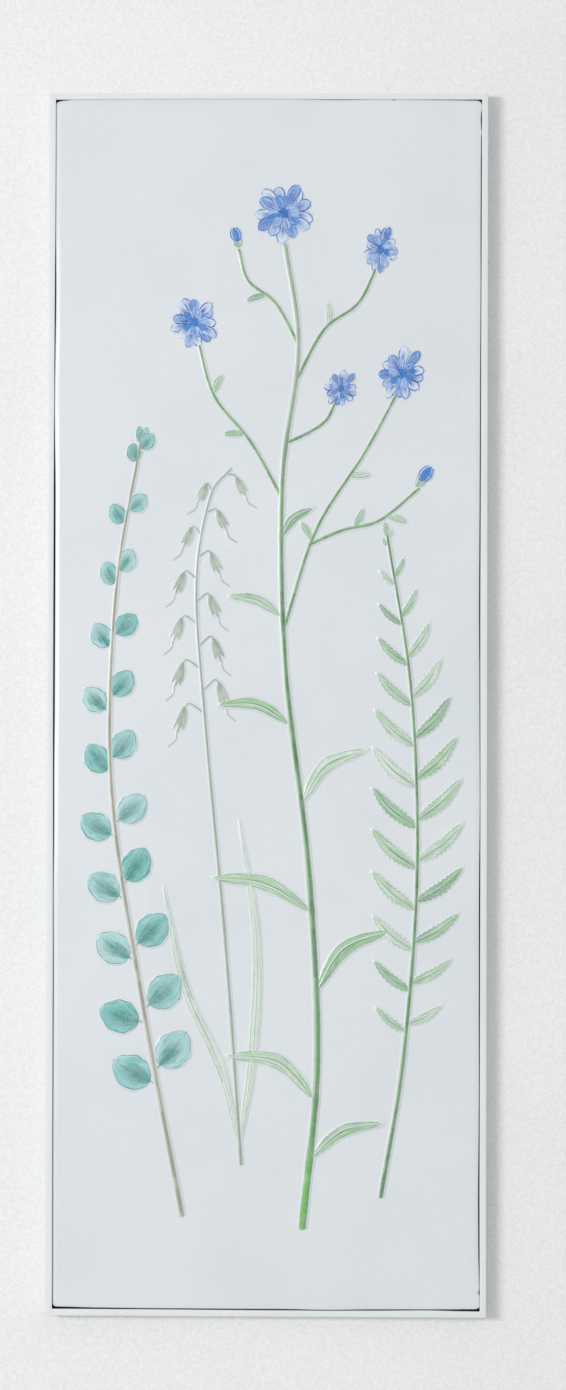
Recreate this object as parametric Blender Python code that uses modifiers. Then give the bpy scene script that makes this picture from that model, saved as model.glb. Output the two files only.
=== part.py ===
"""A tall wall panel: a pressed metal sheet with raised plants, in a slim white frame.

Metres, +Z up. The front faces -Y, and the origin is the middle of the back,
where the panel meets the wall. Lengths below are in millimetres until MM turns
them into metres.
"""

import math

import bmesh
import bpy
from mathutils import Matrix, Vector

MM = 0.001

# The frame and the gaps between pieces
PANEL_WIDTH = 360
PANEL_HEIGHT = 1000
FRAME_DEPTH = 19
RAIL_FACE = 5
RAIL_ROUNDING = 0.5
CLEARANCE = 0.3

# The pressed sheet, a shallow tray with its rim turned back
EDGE_GAP = 0.9
SHEET_WIDTH = PANEL_WIDTH - 2 * RAIL_FACE - 2 * EDGE_GAP
SHEET_HEIGHT = PANEL_HEIGHT - 2 * RAIL_FACE - 2 * EDGE_GAP
SHEET_FRONT = 17.5
SHEET_THICKNESS = 0.8
SHEET_CORNER = 3.5
SHEET_EDGE = 1.8

# The board that carries the sheet
BOARD_BACK_THICKNESS = 10
BOARD_FRONT = SHEET_FRONT - SHEET_THICKNESS - CLEARANCE
RIM_BACK = BOARD_BACK_THICKNESS + CLEARANCE

# The two toothed hangers, each in a pocket in the back of the board
HANGER_X = 120
HANGER_Z = 440
POCKET_WIDTH = 66
POCKET_HEIGHT = 24
POCKET_DEPTH = 3.4
HANGER_WIDTH = 56
HANGER_HEIGHT = 13
HANGER_THICKNESS = 0.9
HANGER_LIFT = 0.7
TAB_LENGTH = 9
TAB_OVERLAP = 1.2
TAB_NARROWER = 0.6
TOOTH_COUNT = 9
TOOTH_DEPTH = 2.2
TOOTH_MARGIN = 3
SCREW_SPACING = 46
SCREW_RADIUS = 1.3
SCREW_HOLE_RADIUS = 1.6
SCREW_HEAD_RADIUS = 2.9
SCREW_HEAD_HEIGHT = 0.9
SCREW_LENGTH = 5.5
SCREW_POINT = 1.5
SCREW_HEAD_TOP = 0.6
SCREW_HOLE_SPARE = 0.6
ROUND_SIDES = 10

# How far raised shapes stand out of the sheet, and how far they reach into it.
# Tiny steps in depth keep crossing shapes from lying in one plane.
RISE_STEM = 1.35
RISE_LEAF = 0.95
RISE_PETAL = 1.1
RISE_DISC = 1.45
RELIEF_ROOT = 0.6
LEAF_STEP = 0.02
LEAF_STEPS = 7
STEM_STEP = 0.015
STEM_STEPS = 5

# The leaf outline: how full its middle is, and how narrow its crest may get
LEAF_FULLNESS = 0.7
CREST_LEAST = 0.4
LEAF_FLANK = 1.6

# Centre lines of the four plants, as (x, z) from the middle of the panel
ASTER_STEM = [(30, -428), (42, -290), (34, -130), (15, 30), (12, 180), (25, 290), (14, 376)]
TEAL_STEM = [(-68, -418), (-100, -250), (-127, -70), (-124, 90), (-104, 214)]
FERN_STEM = [(94, -402), (112, -290), (123, -140), (118, 10), (98, 138)]
GRASS_STEM = [(-20, -376), (-33, -200), (-50, -20), (-58, 96), (-47, 168), (-30, 192)]

# Aster side stalks, each ending in a flower or a bud
ASTER_STALKS = [
    [(14, 62), (40, 142), (80, 206), (108, 258)],
    [(12, 168), (-14, 214), (-44, 252), (-58, 300)],
    [(22, 262), (46, 306), (74, 328), (90, 360)],
    [(34, 130), (62, 142), (92, 150), (124, 176)],
    [(24, 296), (6, 328), (-16, 346), (-24, 372)],
    [(17, 214), (34, 222), (48, 232), (56, 248)],
]

# Flowers as (x, z, radius, width over height, lean in degrees)
ASTER_FLOWERS = [
    (13, 402, 24, 1.0, 8),
    (110, 270, 22, 0.82, -24),
    (-60, 312, 21, 0.9, 20),
    (92, 372, 19, 0.7, -12),
    (60, 258, 15, 0.85, -30),
]
ASTER_BUDS = [(128, 186, 17, 11, -38), (-26, 382, 14, 9, 16)]
PETALS = 13
PETAL_SHAPE = (0.66, 0.98, 0.98)
PETAL_FLANK = 1.3
DISC_SHARE = 0.24
DISC_CORNERS = 10

# Aster leaves as (place along the stem, side, length, width, angle up, droop)
ASTER_LEAVES = [
    (0.07, 1, 70, 9, 52, 34),
    (0.13, -1, 88, 11, 48, 46),
    (0.24, 1, 82, 11, 60, 40),
    (0.32, -1, 90, 11, 40, 30),
    (0.43, 1, 74, 10, 56, 42),
    (0.51, -1, 66, 9, 44, 38),
    (0.62, -1, 50, 8, 40, 30),
    (0.70, 1, 38, 7, 62, 34),
]

# Small leaves on the side stalks as (stalk, place along it, side)
STALK_LEAVES = [
    (0, 0.34, -1),
    (0, 0.62, 1),
    (1, 0.40, -1),
    (1, 0.68, 1),
    (2, 0.46, -1),
    (3, 0.38, -1),
    (3, 0.66, 1),
    (4, 0.50, -1),
]
STALK_LEAF_LENGTH = 18
STALK_LEAF_WIDTH = 5.2
STALK_LEAF_ANGLE = 44
STALK_LEAF_DROOP = 14

# The teal branch: round leaves in pairs that shrink towards the tip
TEAL_PAIRS = 11
TEAL_FIRST = 0.17
TEAL_LAST = 0.97
TEAL_OFFSET = 0.018
TEAL_ANGLE_LOW = 62
TEAL_ANGLE_HIGH = 32
TEAL_WOBBLE = 9
TEAL_DROOP = 8
TEAL_LEAF_LARGE = 41
TEAL_LEAF_SMALL = 18
TEAL_LEAF_SHAPE = 0.66
TEAL_LEAF_POINTED = 1.2

# The fern: pinnae in pairs, longest below the middle
FERN_PAIRS = 13
FERN_FIRST = 0.25
FERN_LAST = 0.985
FERN_OFFSET = 0.012
FERN_ANGLE_LOW = 66
FERN_ANGLE_HIGH = 44
FERN_DROOP = 16
FERN_PINNA_LONGEST = 47
FERN_PINNA_WIDTH = 0.2
FERN_PINNA_NARROWEST = 4.2

# The grass: hanging spikelets and long blades
SPIKELETS = 12
SPIKELET_FIRST = 0.64
SPIKELET_LAST = 0.99
SPIKELET_REACH_LOW = 26
SPIKELET_REACH_HIGH = 12
SPIKELET_LENGTH = 23
SPIKELET_WIDTH = 6.5
GRASS_BLADES = [
    [(-20, -366), (-36, -300), (-66, -232), (-84, -150)],
    [(-21, -360), (-10, -280), (-8, -190), (-22, -96)],
]
BLADE_WIDTH = 7


def remove_everything():
    """Empty the scene, the default cube included."""
    for thing in list(bpy.data.objects):
        bpy.data.objects.remove(thing, do_unlink=True)


def new_collection(name):
    """Add a collection to the scene."""
    collection = bpy.data.collections.new(name)
    bpy.context.scene.collection.children.link(collection)
    return collection


def new_material(name, colour, roughness, metallic=0.0):
    """Make a plain Principled material."""
    material = bpy.data.materials.new(name)
    material.use_nodes = True
    shader = material.node_tree.nodes["Principled BSDF"]
    shader.inputs["Base Color"].default_value = (*colour, 1.0)
    shader.inputs["Roughness"].default_value = roughness
    shader.inputs["Metallic"].default_value = metallic
    return material


def object_from_bmesh(name, shape, collection, material=None):
    """Turn a bmesh into an object."""
    mesh = bpy.data.meshes.new(name)
    shape.to_mesh(mesh)
    shape.free()
    piece = bpy.data.objects.new(name, mesh)
    collection.objects.link(piece)
    if material:
        mesh.materials.append(material)
    return piece


def box_object(name, low, high, collection, material=None):
    """Make a box between two corners given in millimetres."""
    size = [top - bottom for bottom, top in zip(low, high)]
    middle = [(top + bottom) / 2 for bottom, top in zip(low, high)]
    shape = bmesh.new()
    bmesh.ops.create_cube(shape, size=1.0)
    bmesh.ops.scale(shape, vec=Vector(size) * MM, verts=shape.verts)
    bmesh.ops.translate(shape, vec=Vector(middle) * MM, verts=shape.verts)
    return object_from_bmesh(name, shape, collection, material)


def mark_cutter(piece):
    """Keep a cutter out of the finished object."""
    piece.hide_render = True
    piece.display_type = "WIRE"
    return piece


def add_boolean(piece, other, operation, own_overlaps=False):
    """Cut a piece with another object, or join that object to it."""
    change = piece.modifiers.new(operation.title(), "BOOLEAN")
    change.operation = operation
    change.object = other
    change.solver = "EXACT"
    change.use_self = own_overlaps


def add_bevel(piece, width, segments):
    """Round the sharp edges of a piece."""
    bevel = piece.modifiers.new("Bevel", "BEVEL")
    bevel.width = width * MM
    bevel.segments = segments
    bevel.limit_method = "ANGLE"
    bevel.angle_limit = math.radians(40)


def outline_object(name, points, front, back, collection, material=None):
    """Make a flat plate from an outline in (x, z), between two depths."""
    curve = bpy.data.curves.new(name, "CURVE")
    curve.dimensions = "2D"
    curve.fill_mode = "BOTH"
    curve.extrude = (front - back) / 2 * MM
    spline = curve.splines.new("POLY")
    spline.points.add(len(points) - 1)
    for slot, (x, z) in zip(spline.points, points):
        slot.co = (x * MM, z * MM, 0.0, 1.0)
    spline.use_cyclic_u = True
    drawn = bpy.data.objects.new(name + "_outline", curve)
    upright = Matrix.Rotation(math.radians(90), 4, "X")
    drawn.matrix_world = Matrix.Translation((0, -(front + back) / 2 * MM, 0)) @ upright
    return mesh_from_curve(name, drawn, collection, material)


def mesh_from_curve(name, drawn, collection, material=None):
    """Replace a curve object by a closed mesh in the same place."""
    bpy.context.scene.collection.objects.link(drawn)
    bpy.context.view_layer.update()
    evaluated = drawn.evaluated_get(bpy.context.evaluated_depsgraph_get())
    mesh = bpy.data.meshes.new_from_object(evaluated)
    mesh.name = name
    shape = bmesh.new()
    shape.from_mesh(mesh)
    bmesh.ops.remove_doubles(shape, verts=shape.verts, dist=0.00001)
    bmesh.ops.recalc_face_normals(shape, faces=shape.faces)
    shape.to_mesh(mesh)
    shape.free()
    mesh.materials.clear()
    if material:
        mesh.materials.append(material)
    piece = bpy.data.objects.new(name, mesh)
    piece.matrix_world = drawn.matrix_world
    collection.objects.link(piece)
    bpy.data.objects.remove(drawn, do_unlink=True)
    return piece


def smooth_line(points, count):
    """Read evenly spaced points and directions from a smooth curve through points."""
    knots = [Vector(point) for point in points]
    knots = [2 * knots[0] - knots[1], *knots, 2 * knots[-1] - knots[-2]]
    dense = []
    steps = 24
    for index in range(1, len(knots) - 2):
        before, start, end, after = knots[index - 1 : index + 3]
        for step in range(steps):
            t = step / steps
            dense.append(
                0.5
                * (
                    2 * start
                    + (end - before) * t
                    + (2 * before - 5 * start + 4 * end - after) * t**2
                    + (3 * start - 3 * end + after - before) * t**3
                )
            )
    dense.append(knots[-2])
    reach = [0.0]
    for first, second in zip(dense, dense[1:]):
        reach.append(reach[-1] + (second - first).length)
    line = []
    place = 0
    for number in range(count):
        wanted = reach[-1] * number / (count - 1)
        while place < len(dense) - 2 and reach[place + 1] < wanted:
            place += 1
        share = (wanted - reach[place]) / (reach[place + 1] - reach[place])
        point = dense[place].lerp(dense[place + 1], share)
        heading = (dense[place + 1] - dense[place]).normalized()
        line.append((point, heading))
    return line


def on_line(line, share):
    """Give the point and direction at a share of a line's length."""
    place = share * (len(line) - 1)
    index = min(int(place), len(line) - 2)
    point = line[index][0].lerp(line[index + 1][0], place - index)
    return point, line[index][1]


def turned(heading, degrees):
    """Turn a flat direction anticlockwise, as seen from the front."""
    angle = math.radians(degrees)
    return Vector(
        (
            heading.x * math.cos(angle) - heading.y * math.sin(angle),
            heading.x * math.sin(angle) + heading.y * math.cos(angle),
        )
    )


def angle_around(vert):
    """Give a vertex's angle about the upright axis."""
    return math.atan2(vert.co.y, vert.co.x)


def runs_clockwise(points):
    """Say whether an outline runs clockwise, as seen from the front."""
    doubled_area = 0
    for first, second in zip(points, points[1:] + points[:1]):
        doubled_area += first.x * second.y - second.x * first.y
    return doubled_area < 0


def raise_outline(relief, foot, crest, rise):
    """Add a raised flat-topped shape whose flanks slope from its foot to its crest."""
    if runs_clockwise(foot):
        foot = foot[::-1]
        crest = crest[::-1]
    relief.raised += 1
    spread = LEAF_STEP * (relief.raised % LEAF_STEPS)
    foot_depth = SHEET_FRONT - RELIEF_ROOT - spread
    crest_depth = SHEET_FRONT + rise - spread
    made = bmesh.ops.create_cone(
        relief.shape, cap_ends=True, segments=len(foot), radius1=1, radius2=1, depth=2
    )
    lower = sorted((vert for vert in made["verts"] if vert.co.z < 0), key=angle_around)
    upper = sorted((vert for vert in made["verts"] if vert.co.z > 0), key=angle_around)
    for low, high, outer, inner in zip(lower, upper, foot, crest):
        low.co = Vector((outer.x, -foot_depth, outer.y)) * MM
        high.co = Vector((inner.x, -crest_depth, inner.y)) * MM


class Relief:
    """The raised shapes, gathered before they are joined to the sheet."""

    def __init__(self):
        self.shape = bmesh.new()
        self.raised = 0


def blade_outline(line, width, sides, pointed, inset):
    """Outline a leaf along its centre line, drawn in from its edge by an inset."""
    left = []
    right = []
    for number in range(sides):
        share = (number + 0.5) / sides
        point, heading = on_line(line, share)
        half = width / 2 * math.sin(math.pi * share**pointed) ** LEAF_FULLNESS
        half = max(half - inset, half * CREST_LEAST)
        across = turned(heading, 90)
        left.append(point + across * half)
        right.append(point - across * half)
    base = line[0][0] + line[0][1] * inset
    tip = line[-1][0] - line[-1][1] * inset
    return [base, *right, tip, *reversed(left)]


def curved_leaf(base, heading, length, droop):
    """Give the centre line of a leaf that leaves a stem and bends by droop degrees."""
    middle = base + turned(heading, droop * 0.15) * length * 0.5
    tip = middle + turned(heading, droop) * length * 0.5
    return smooth_line([base, middle, tip], 13)


def add_stem(relief, points, count, start_radius, end_radius, roundness=1):
    """Raise a round stem, flattened against the sheet."""
    line = smooth_line(points, count)
    curve = bpy.data.curves.new("stem", "CURVE")
    curve.dimensions = "3D"
    curve.bevel_depth = start_radius * MM
    curve.bevel_resolution = roundness
    curve.use_fill_caps = True
    spline = curve.splines.new("POLY")
    spline.points.add(count - 1)
    for number, (slot, (point, _)) in enumerate(zip(spline.points, line)):
        share = number / (count - 1)
        slot.co = (point.x * MM, 0.0, point.y * MM, 1.0)
        slot.radius = 1 + (end_radius / start_radius - 1) * share
    relief.raised += 1
    drawn = bpy.data.objects.new("stem", curve)
    piece = mesh_from_curve("stem", drawn, bpy.context.scene.collection)
    spread = STEM_STEP * (relief.raised % STEM_STEPS)
    thickness = RISE_STEM + RELIEF_ROOT
    for vert in piece.data.vertices:
        vert.co.y *= thickness / 2 / start_radius
        vert.co.y -= (SHEET_FRONT - RELIEF_ROOT + thickness / 2 - spread) * MM
    relief.shape.from_mesh(piece.data)
    bpy.data.objects.remove(piece, do_unlink=True)
    return line


def add_leaf(relief, line, width, sides, rise=RISE_LEAF, flank=LEAF_FLANK, pointed=1.0):
    """Raise a leaf along a centre line."""
    foot = blade_outline(line, width, sides, pointed, 0)
    crest = blade_outline(line, width, sides, pointed, flank)
    raise_outline(relief, foot, crest, rise)


def ring_outline(flower, reaches):
    """Outline a ring about a flower's middle, with one reach for each corner."""
    x, z, _, squeeze, lean = flower
    points = []
    for number, reach in enumerate(reaches):
        angle = 2 * math.pi * number / len(reaches)
        spot = Vector((math.cos(angle) * squeeze, math.sin(angle))) * reach
        points.append(Vector((x, z)) + turned(spot, lean))
    return points


def add_flower(relief, flower):
    """Raise a daisy-like flower: a ring of petals in one outline, and its disc."""
    radius = flower[2]
    reaches = [radius * PETAL_SHAPE[number % 3] for number in range(PETALS * 3)]
    crest = [reach - PETAL_FLANK for reach in reaches]
    raise_outline(relief, ring_outline(flower, reaches), ring_outline(flower, crest), RISE_PETAL)
    disc = [radius * DISC_SHARE] * DISC_CORNERS
    crest = [reach - PETAL_FLANK for reach in disc]
    raise_outline(relief, ring_outline(flower, disc), ring_outline(flower, crest), RISE_DISC)


def add_aster(relief):
    """Raise the tall plant with blue flowers."""
    stem = add_stem(relief, ASTER_STEM, 18, 2.7, 1.6)
    stalks = [add_stem(relief, stalk, 7, 1.7, 1.3) for stalk in ASTER_STALKS]
    for flower in ASTER_FLOWERS:
        add_flower(relief, flower)
    for x, z, length, width, lean in ASTER_BUDS:
        heading = turned(Vector((0, 1)), lean)
        base = Vector((x, z)) - heading * length / 2
        add_leaf(relief, curved_leaf(base, heading, length, 4), width, 4, RISE_PETAL)
    for share, side, length, width, up, droop in ASTER_LEAVES:
        base, heading = on_line(stem, share)
        heading = turned(heading, -side * (90 - up))
        line = curved_leaf(base, heading, length, -side * droop)
        add_leaf(relief, line, width, 6)
    for number, share, side in STALK_LEAVES:
        base, heading = on_line(stalks[number], share)
        heading = turned(heading, -side * STALK_LEAF_ANGLE)
        line = curved_leaf(base, heading, STALK_LEAF_LENGTH, -side * STALK_LEAF_DROOP)
        add_leaf(relief, line, STALK_LEAF_WIDTH, 3)


def add_teal_branch(relief):
    """Raise the branch of round leaves."""
    stem = add_stem(relief, TEAL_STEM, 14, 2.1, 1.2)
    for number in range(TEAL_PAIRS):
        share = number / (TEAL_PAIRS - 1)
        length = TEAL_LEAF_LARGE + (TEAL_LEAF_SMALL - TEAL_LEAF_LARGE) * share**1.2
        for side in (-1, 1):
            place = TEAL_FIRST + (TEAL_LAST - TEAL_FIRST) * share + TEAL_OFFSET * (side > 0)
            base, heading = on_line(stem, min(place, 1.0))
            angle = TEAL_ANGLE_LOW + (TEAL_ANGLE_HIGH - TEAL_ANGLE_LOW) * share
            wobble = TEAL_WOBBLE * math.sin(2.4 * number + side)
            line = curved_leaf(base, turned(heading, wobble - side * angle), length, side * TEAL_DROOP)
            width = length * TEAL_LEAF_SHAPE
            add_leaf(relief, line, width, 4, pointed=TEAL_LEAF_POINTED)
    tip, heading = on_line(stem, 1.0)
    add_leaf(relief, curved_leaf(tip - heading * 2, heading, 15, 6), 8, 4)


def add_fern(relief):
    """Raise the fern frond."""
    stem = add_stem(relief, FERN_STEM, 13, 1.9, 1.1)
    for number in range(FERN_PAIRS):
        share = number / (FERN_PAIRS - 1)
        length = FERN_PINNA_LONGEST * (math.sin(math.pi * (0.2 + 0.78 * share)) ** 0.9 + 0.08)
        for side in (-1, 1):
            place = FERN_FIRST + (FERN_LAST - FERN_FIRST) * share + FERN_OFFSET * (side > 0)
            base, heading = on_line(stem, min(place, 1.0))
            angle = FERN_ANGLE_LOW + (FERN_ANGLE_HIGH - FERN_ANGLE_LOW) * share
            line = curved_leaf(base, turned(heading, -side * angle), length, side * FERN_DROOP)
            width = max(length * FERN_PINNA_WIDTH, FERN_PINNA_NARROWEST)
            add_leaf(relief, line, width, 3, flank=1.3, pointed=0.8)
    tip, heading = on_line(stem, 1.0)
    add_leaf(relief, curved_leaf(tip - heading * 2, heading, 13, 4), 4.6, 4)


def add_grass(relief):
    """Raise the oat-like grass with hanging spikelets."""
    stem = add_stem(relief, GRASS_STEM, 16, 1.5, 0.9)
    for number in range(SPIKELETS):
        share = number / (SPIKELETS - 1)
        side = 1 if number % 2 else -1
        base, heading = on_line(stem, SPIKELET_FIRST + (SPIKELET_LAST - SPIKELET_FIRST) * share)
        reach = SPIKELET_REACH_LOW + (SPIKELET_REACH_HIGH - SPIKELET_REACH_LOW) * share
        out = turned(heading, -side * 52)
        foot = base + out * reach * 0.75 - Vector((0, 1)) * reach * 0.25
        middle = base + out * reach * 0.55
        add_stem(relief, [base, middle, foot], 3, 0.9, 0.8, 0)
        down = turned(Vector((0, -1)), side * (12 + 10 * share))
        length = SPIKELET_LENGTH * (1 - 0.25 * share)
        line = curved_leaf(foot - down * 1.5, down, length, side * 8)
        add_leaf(relief, line, SPIKELET_WIDTH, 3, flank=1.2, pointed=0.8)
    for blade in GRASS_BLADES:
        add_leaf(relief, smooth_line(blade, 21), BLADE_WIDTH, 9, flank=1.4, pointed=0.8)


def make_rail(name, length_axis, side, collection, material):
    """Make one frame rail as a mitred strip, with a hair's gap at each mitre."""
    half_wide = PANEL_WIDTH / 2
    half_tall = PANEL_HEIGHT / 2
    back_off = CLEARANCE / 2 * math.sqrt(2)
    if length_axis == "X":
        outer, inner, reach = half_tall, half_tall - RAIL_FACE, half_wide
    else:
        outer, inner, reach = half_wide, half_wide - RAIL_FACE, half_tall
    corners = [
        (-reach + back_off, outer),
        (reach - back_off, outer),
        (reach - RAIL_FACE - back_off, inner),
        (-reach + RAIL_FACE + back_off, inner),
    ]
    if length_axis == "X":
        points = [(along, across * side) for along, across in corners]
    else:
        points = [(across * side, along) for along, across in corners]
    rail = outline_object(name, points, FRAME_DEPTH, 0, collection, material)
    add_bevel(rail, RAIL_ROUNDING, 2)
    return rail


def make_frame(collection, material):
    """Make the four rails."""
    make_rail("frame_rail_top", "X", 1, collection, material)
    make_rail("frame_rail_bottom", "X", -1, collection, material)
    make_rail("frame_rail_right", "Z", 1, collection, material)
    make_rail("frame_rail_left", "Z", -1, collection, material)


def make_sheet(collection, material):
    """Make the pressed sheet: a shallow tray, open at the back, with its raised plants."""
    half_wide = SHEET_WIDTH / 2 * MM
    half_tall = SHEET_HEIGHT / 2 * MM
    near_front = -(SHEET_FRONT - 0.1) * MM
    near_back = -(RIM_BACK + 0.1) * MM
    shape = bmesh.new()
    bmesh.ops.create_cube(shape, size=2.0)
    for vert in shape.verts:
        depth = SHEET_FRONT if vert.co.y < 0 else RIM_BACK
        vert.co = Vector((vert.co.x * half_wide, -depth * MM, vert.co.z * half_tall))
    upright = [
        edge for edge in shape.edges if abs(edge.verts[0].co.y - edge.verts[1].co.y) > 0.1 * MM
    ]
    bmesh.ops.bevel(
        shape, geom=upright, offset=SHEET_CORNER * MM, segments=4, profile=0.5, affect="EDGES"
    )
    open_back = [face for face in shape.faces if face.calc_center_median().y > near_back]
    bmesh.ops.delete(shape, geom=open_back, context="FACES")
    front_rim = [edge for edge in shape.edges if all(vert.co.y < near_front for vert in edge.verts)]
    bmesh.ops.bevel(
        shape, geom=front_rim, offset=SHEET_EDGE * MM, segments=3, profile=0.5, affect="EDGES"
    )
    sheet = object_from_bmesh("embossed_sheet", shape, collection, material)
    solid = sheet.modifiers.new("Thickness", "SOLIDIFY")
    solid.thickness = SHEET_THICKNESS * MM
    solid.offset = -1
    solid.use_even_offset = True
    relief = Relief()
    add_aster(relief)
    add_teal_branch(relief)
    add_fern(relief)
    add_grass(relief)
    return sheet, relief.shape


def make_board(collection, cutters, material):
    """Make the board: a back slab and a smaller front slab that fills the tray."""
    half_wide = (PANEL_WIDTH / 2) - RAIL_FACE - CLEARANCE
    half_tall = (PANEL_HEIGHT / 2) - RAIL_FACE - CLEARANCE
    board = box_object(
        "backing_board",
        (-half_wide, -BOARD_BACK_THICKNESS, -half_tall),
        (half_wide, 0, half_tall),
        collection,
        material,
    )
    inner_wide = SHEET_WIDTH / 2 - SHEET_THICKNESS - CLEARANCE
    inner_tall = SHEET_HEIGHT / 2 - SHEET_THICKNESS - CLEARANCE
    front = box_object(
        "board_front",
        (-inner_wide, -BOARD_FRONT, -inner_tall),
        (inner_wide, -BOARD_BACK_THICKNESS / 2, inner_tall),
        cutters,
    )
    add_bevel(front, SHEET_CORNER, 3)
    add_boolean(board, mark_cutter(front), "UNION")
    for side, name in ((-1, "left"), (1, "right")):
        centre = side * HANGER_X
        pocket = box_object(
            f"pocket_{name}",
            (centre - POCKET_WIDTH / 2, -POCKET_DEPTH, HANGER_Z - POCKET_HEIGHT / 2),
            (centre + POCKET_WIDTH / 2, 2, HANGER_Z + POCKET_HEIGHT / 2),
            cutters,
        )
        add_boolean(board, mark_cutter(pocket), "DIFFERENCE")
    return board


def drill(piece, x, z, radius, depth, cutters):
    """Cut a round hole from the back to a depth."""
    shape = bmesh.new()
    bmesh.ops.create_cone(
        shape,
        cap_ends=True,
        segments=ROUND_SIDES,
        radius1=radius * MM,
        radius2=radius * MM,
        depth=(depth + 2) * MM,
        matrix=Matrix.Translation((x * MM, -(depth - 2) / 2 * MM, z * MM))
        @ Matrix.Rotation(math.radians(90), 4, "X"),
    )
    cutter = object_from_bmesh(f"hole_{piece.name}_{round(x)}", shape, cutters)
    add_boolean(piece, mark_cutter(cutter), "DIFFERENCE")


def make_hanger(name, x, collection, cutters, material):
    """Make a toothed hanger: end tabs on the pocket floor, and a lifted toothed bar."""
    floor = POCKET_DEPTH - CLEARANCE
    tab_back = floor - HANGER_THICKNESS
    bar_front = floor - HANGER_LIFT
    bar_back = bar_front - HANGER_THICKNESS
    bar_reach = HANGER_WIDTH / 2 - TAB_LENGTH
    half_tall = HANGER_HEIGHT / 2
    points = [
        (x - bar_reach, HANGER_Z + half_tall),
        (x - bar_reach, HANGER_Z - half_tall),
    ]
    tooth_pitch = 2 * (bar_reach - TOOTH_MARGIN) / TOOTH_COUNT
    for tooth in range(TOOTH_COUNT):
        start = x - bar_reach + TOOTH_MARGIN + tooth * tooth_pitch
        depth = TOOTH_DEPTH * (0.7 + 0.3 * math.sin(math.pi * (tooth + 0.5) / TOOTH_COUNT))
        points.append((start, HANGER_Z - half_tall))
        points.append((start + tooth_pitch / 2, HANGER_Z - half_tall + depth))
    points.append((x + bar_reach - TOOTH_MARGIN, HANGER_Z - half_tall))
    points.append((x + bar_reach, HANGER_Z - half_tall))
    points.append((x + bar_reach, HANGER_Z + half_tall))
    bar = outline_object(name, points, bar_front, bar_back, collection, material)
    for side in (-1, 1):
        ends = sorted((x + side * (bar_reach - TAB_OVERLAP), x + side * HANGER_WIDTH / 2))
        tab = box_object(
            f"{name}_tab_{'right' if side > 0 else 'left'}",
            (ends[0], -floor, HANGER_Z - half_tall + TAB_NARROWER),
            (ends[1], -tab_back, HANGER_Z + half_tall - TAB_NARROWER),
            cutters,
        )
        add_boolean(bar, mark_cutter(tab), "UNION")
    for side in (-1, 1):
        drill(bar, x + side * SCREW_SPACING / 2, HANGER_Z, SCREW_HOLE_RADIUS, floor + 1, cutters)
    return tab_back


def make_screw(name, x, head_front, collection, material):
    """Make a small screw as a turned profile, its head on the hanger's tab."""
    head_back = head_front - SCREW_HEAD_HEIGHT
    tip = head_front + SCREW_LENGTH
    profile = [
        (0, -head_back),
        (SCREW_HEAD_RADIUS * SCREW_HEAD_TOP, -head_back),
        (SCREW_HEAD_RADIUS, -(head_back + SCREW_HEAD_HEIGHT * SCREW_HEAD_TOP)),
        (SCREW_HEAD_RADIUS, -head_front),
        (SCREW_RADIUS, -head_front),
        (SCREW_RADIUS, -(tip - SCREW_POINT)),
        (0, -tip),
    ]
    mesh = bpy.data.meshes.new(name)
    points = [(radius * MM, 0.0, height * MM) for radius, height in profile]
    edges = [(index, index + 1) for index in range(len(points) - 1)]
    mesh.from_pydata(points, edges, [])
    mesh.materials.append(material)
    screw = bpy.data.objects.new(name, mesh)
    collection.objects.link(screw)
    screw.location = (x * MM, 0.0, HANGER_Z * MM)
    screw.rotation_euler = (math.radians(-90), 0.0, 0.0)
    turn = screw.modifiers.new("Screw", "SCREW")
    turn.steps = ROUND_SIDES
    turn.render_steps = ROUND_SIDES
    turn.use_merge_vertices = True
    turn.merge_threshold = 0.00001
    turn.use_smooth_shade = False
    return screw


def main():
    """Build the whole panel."""
    remove_everything()
    panel = new_collection("framed_botanical_panel")
    cutters = new_collection("cutters")
    white_lacquer = new_material("white_lacquer", (0.80, 0.82, 0.83), 0.4)
    enamel = new_material("pale_enamel", (0.70, 0.76, 0.80), 0.35)
    fibreboard = new_material("fibreboard", (0.42, 0.30, 0.20), 0.85)
    zinc = new_material("zinc_plate", (0.62, 0.63, 0.65), 0.35, 1.0)

    make_frame(panel, white_lacquer)
    sheet, raised = make_sheet(panel, enamel)
    plants = object_from_bmesh("raised_plants", raised, cutters)
    add_boolean(sheet, mark_cutter(plants), "UNION", own_overlaps=True)
    board = make_board(panel, cutters, fibreboard)
    for side, word in ((-1, "left"), (1, "right")):
        centre = side * HANGER_X
        tab_back = make_hanger(f"hanger_{word}", centre, panel, cutters, zinc)
        for end, place in ((-1, "a"), (1, "b")):
            x = centre + end * SCREW_SPACING / 2
            hole_depth = tab_back + SCREW_LENGTH + SCREW_HOLE_SPARE
            drill(board, x, HANGER_Z, SCREW_HOLE_RADIUS, hole_depth, cutters)
            make_screw(f"screw_{word}_{place}", x, tab_back - CLEARANCE, panel, zinc)


main()
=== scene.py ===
"""Looks of the framed botanical panel: the pressed and painted sheet, and every finish.

Lengths are in millimetres until MM turns them into metres. The plants follow the
same centre lines as the solids, and are drawn here as fine raised strips.
"""

import math

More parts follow.
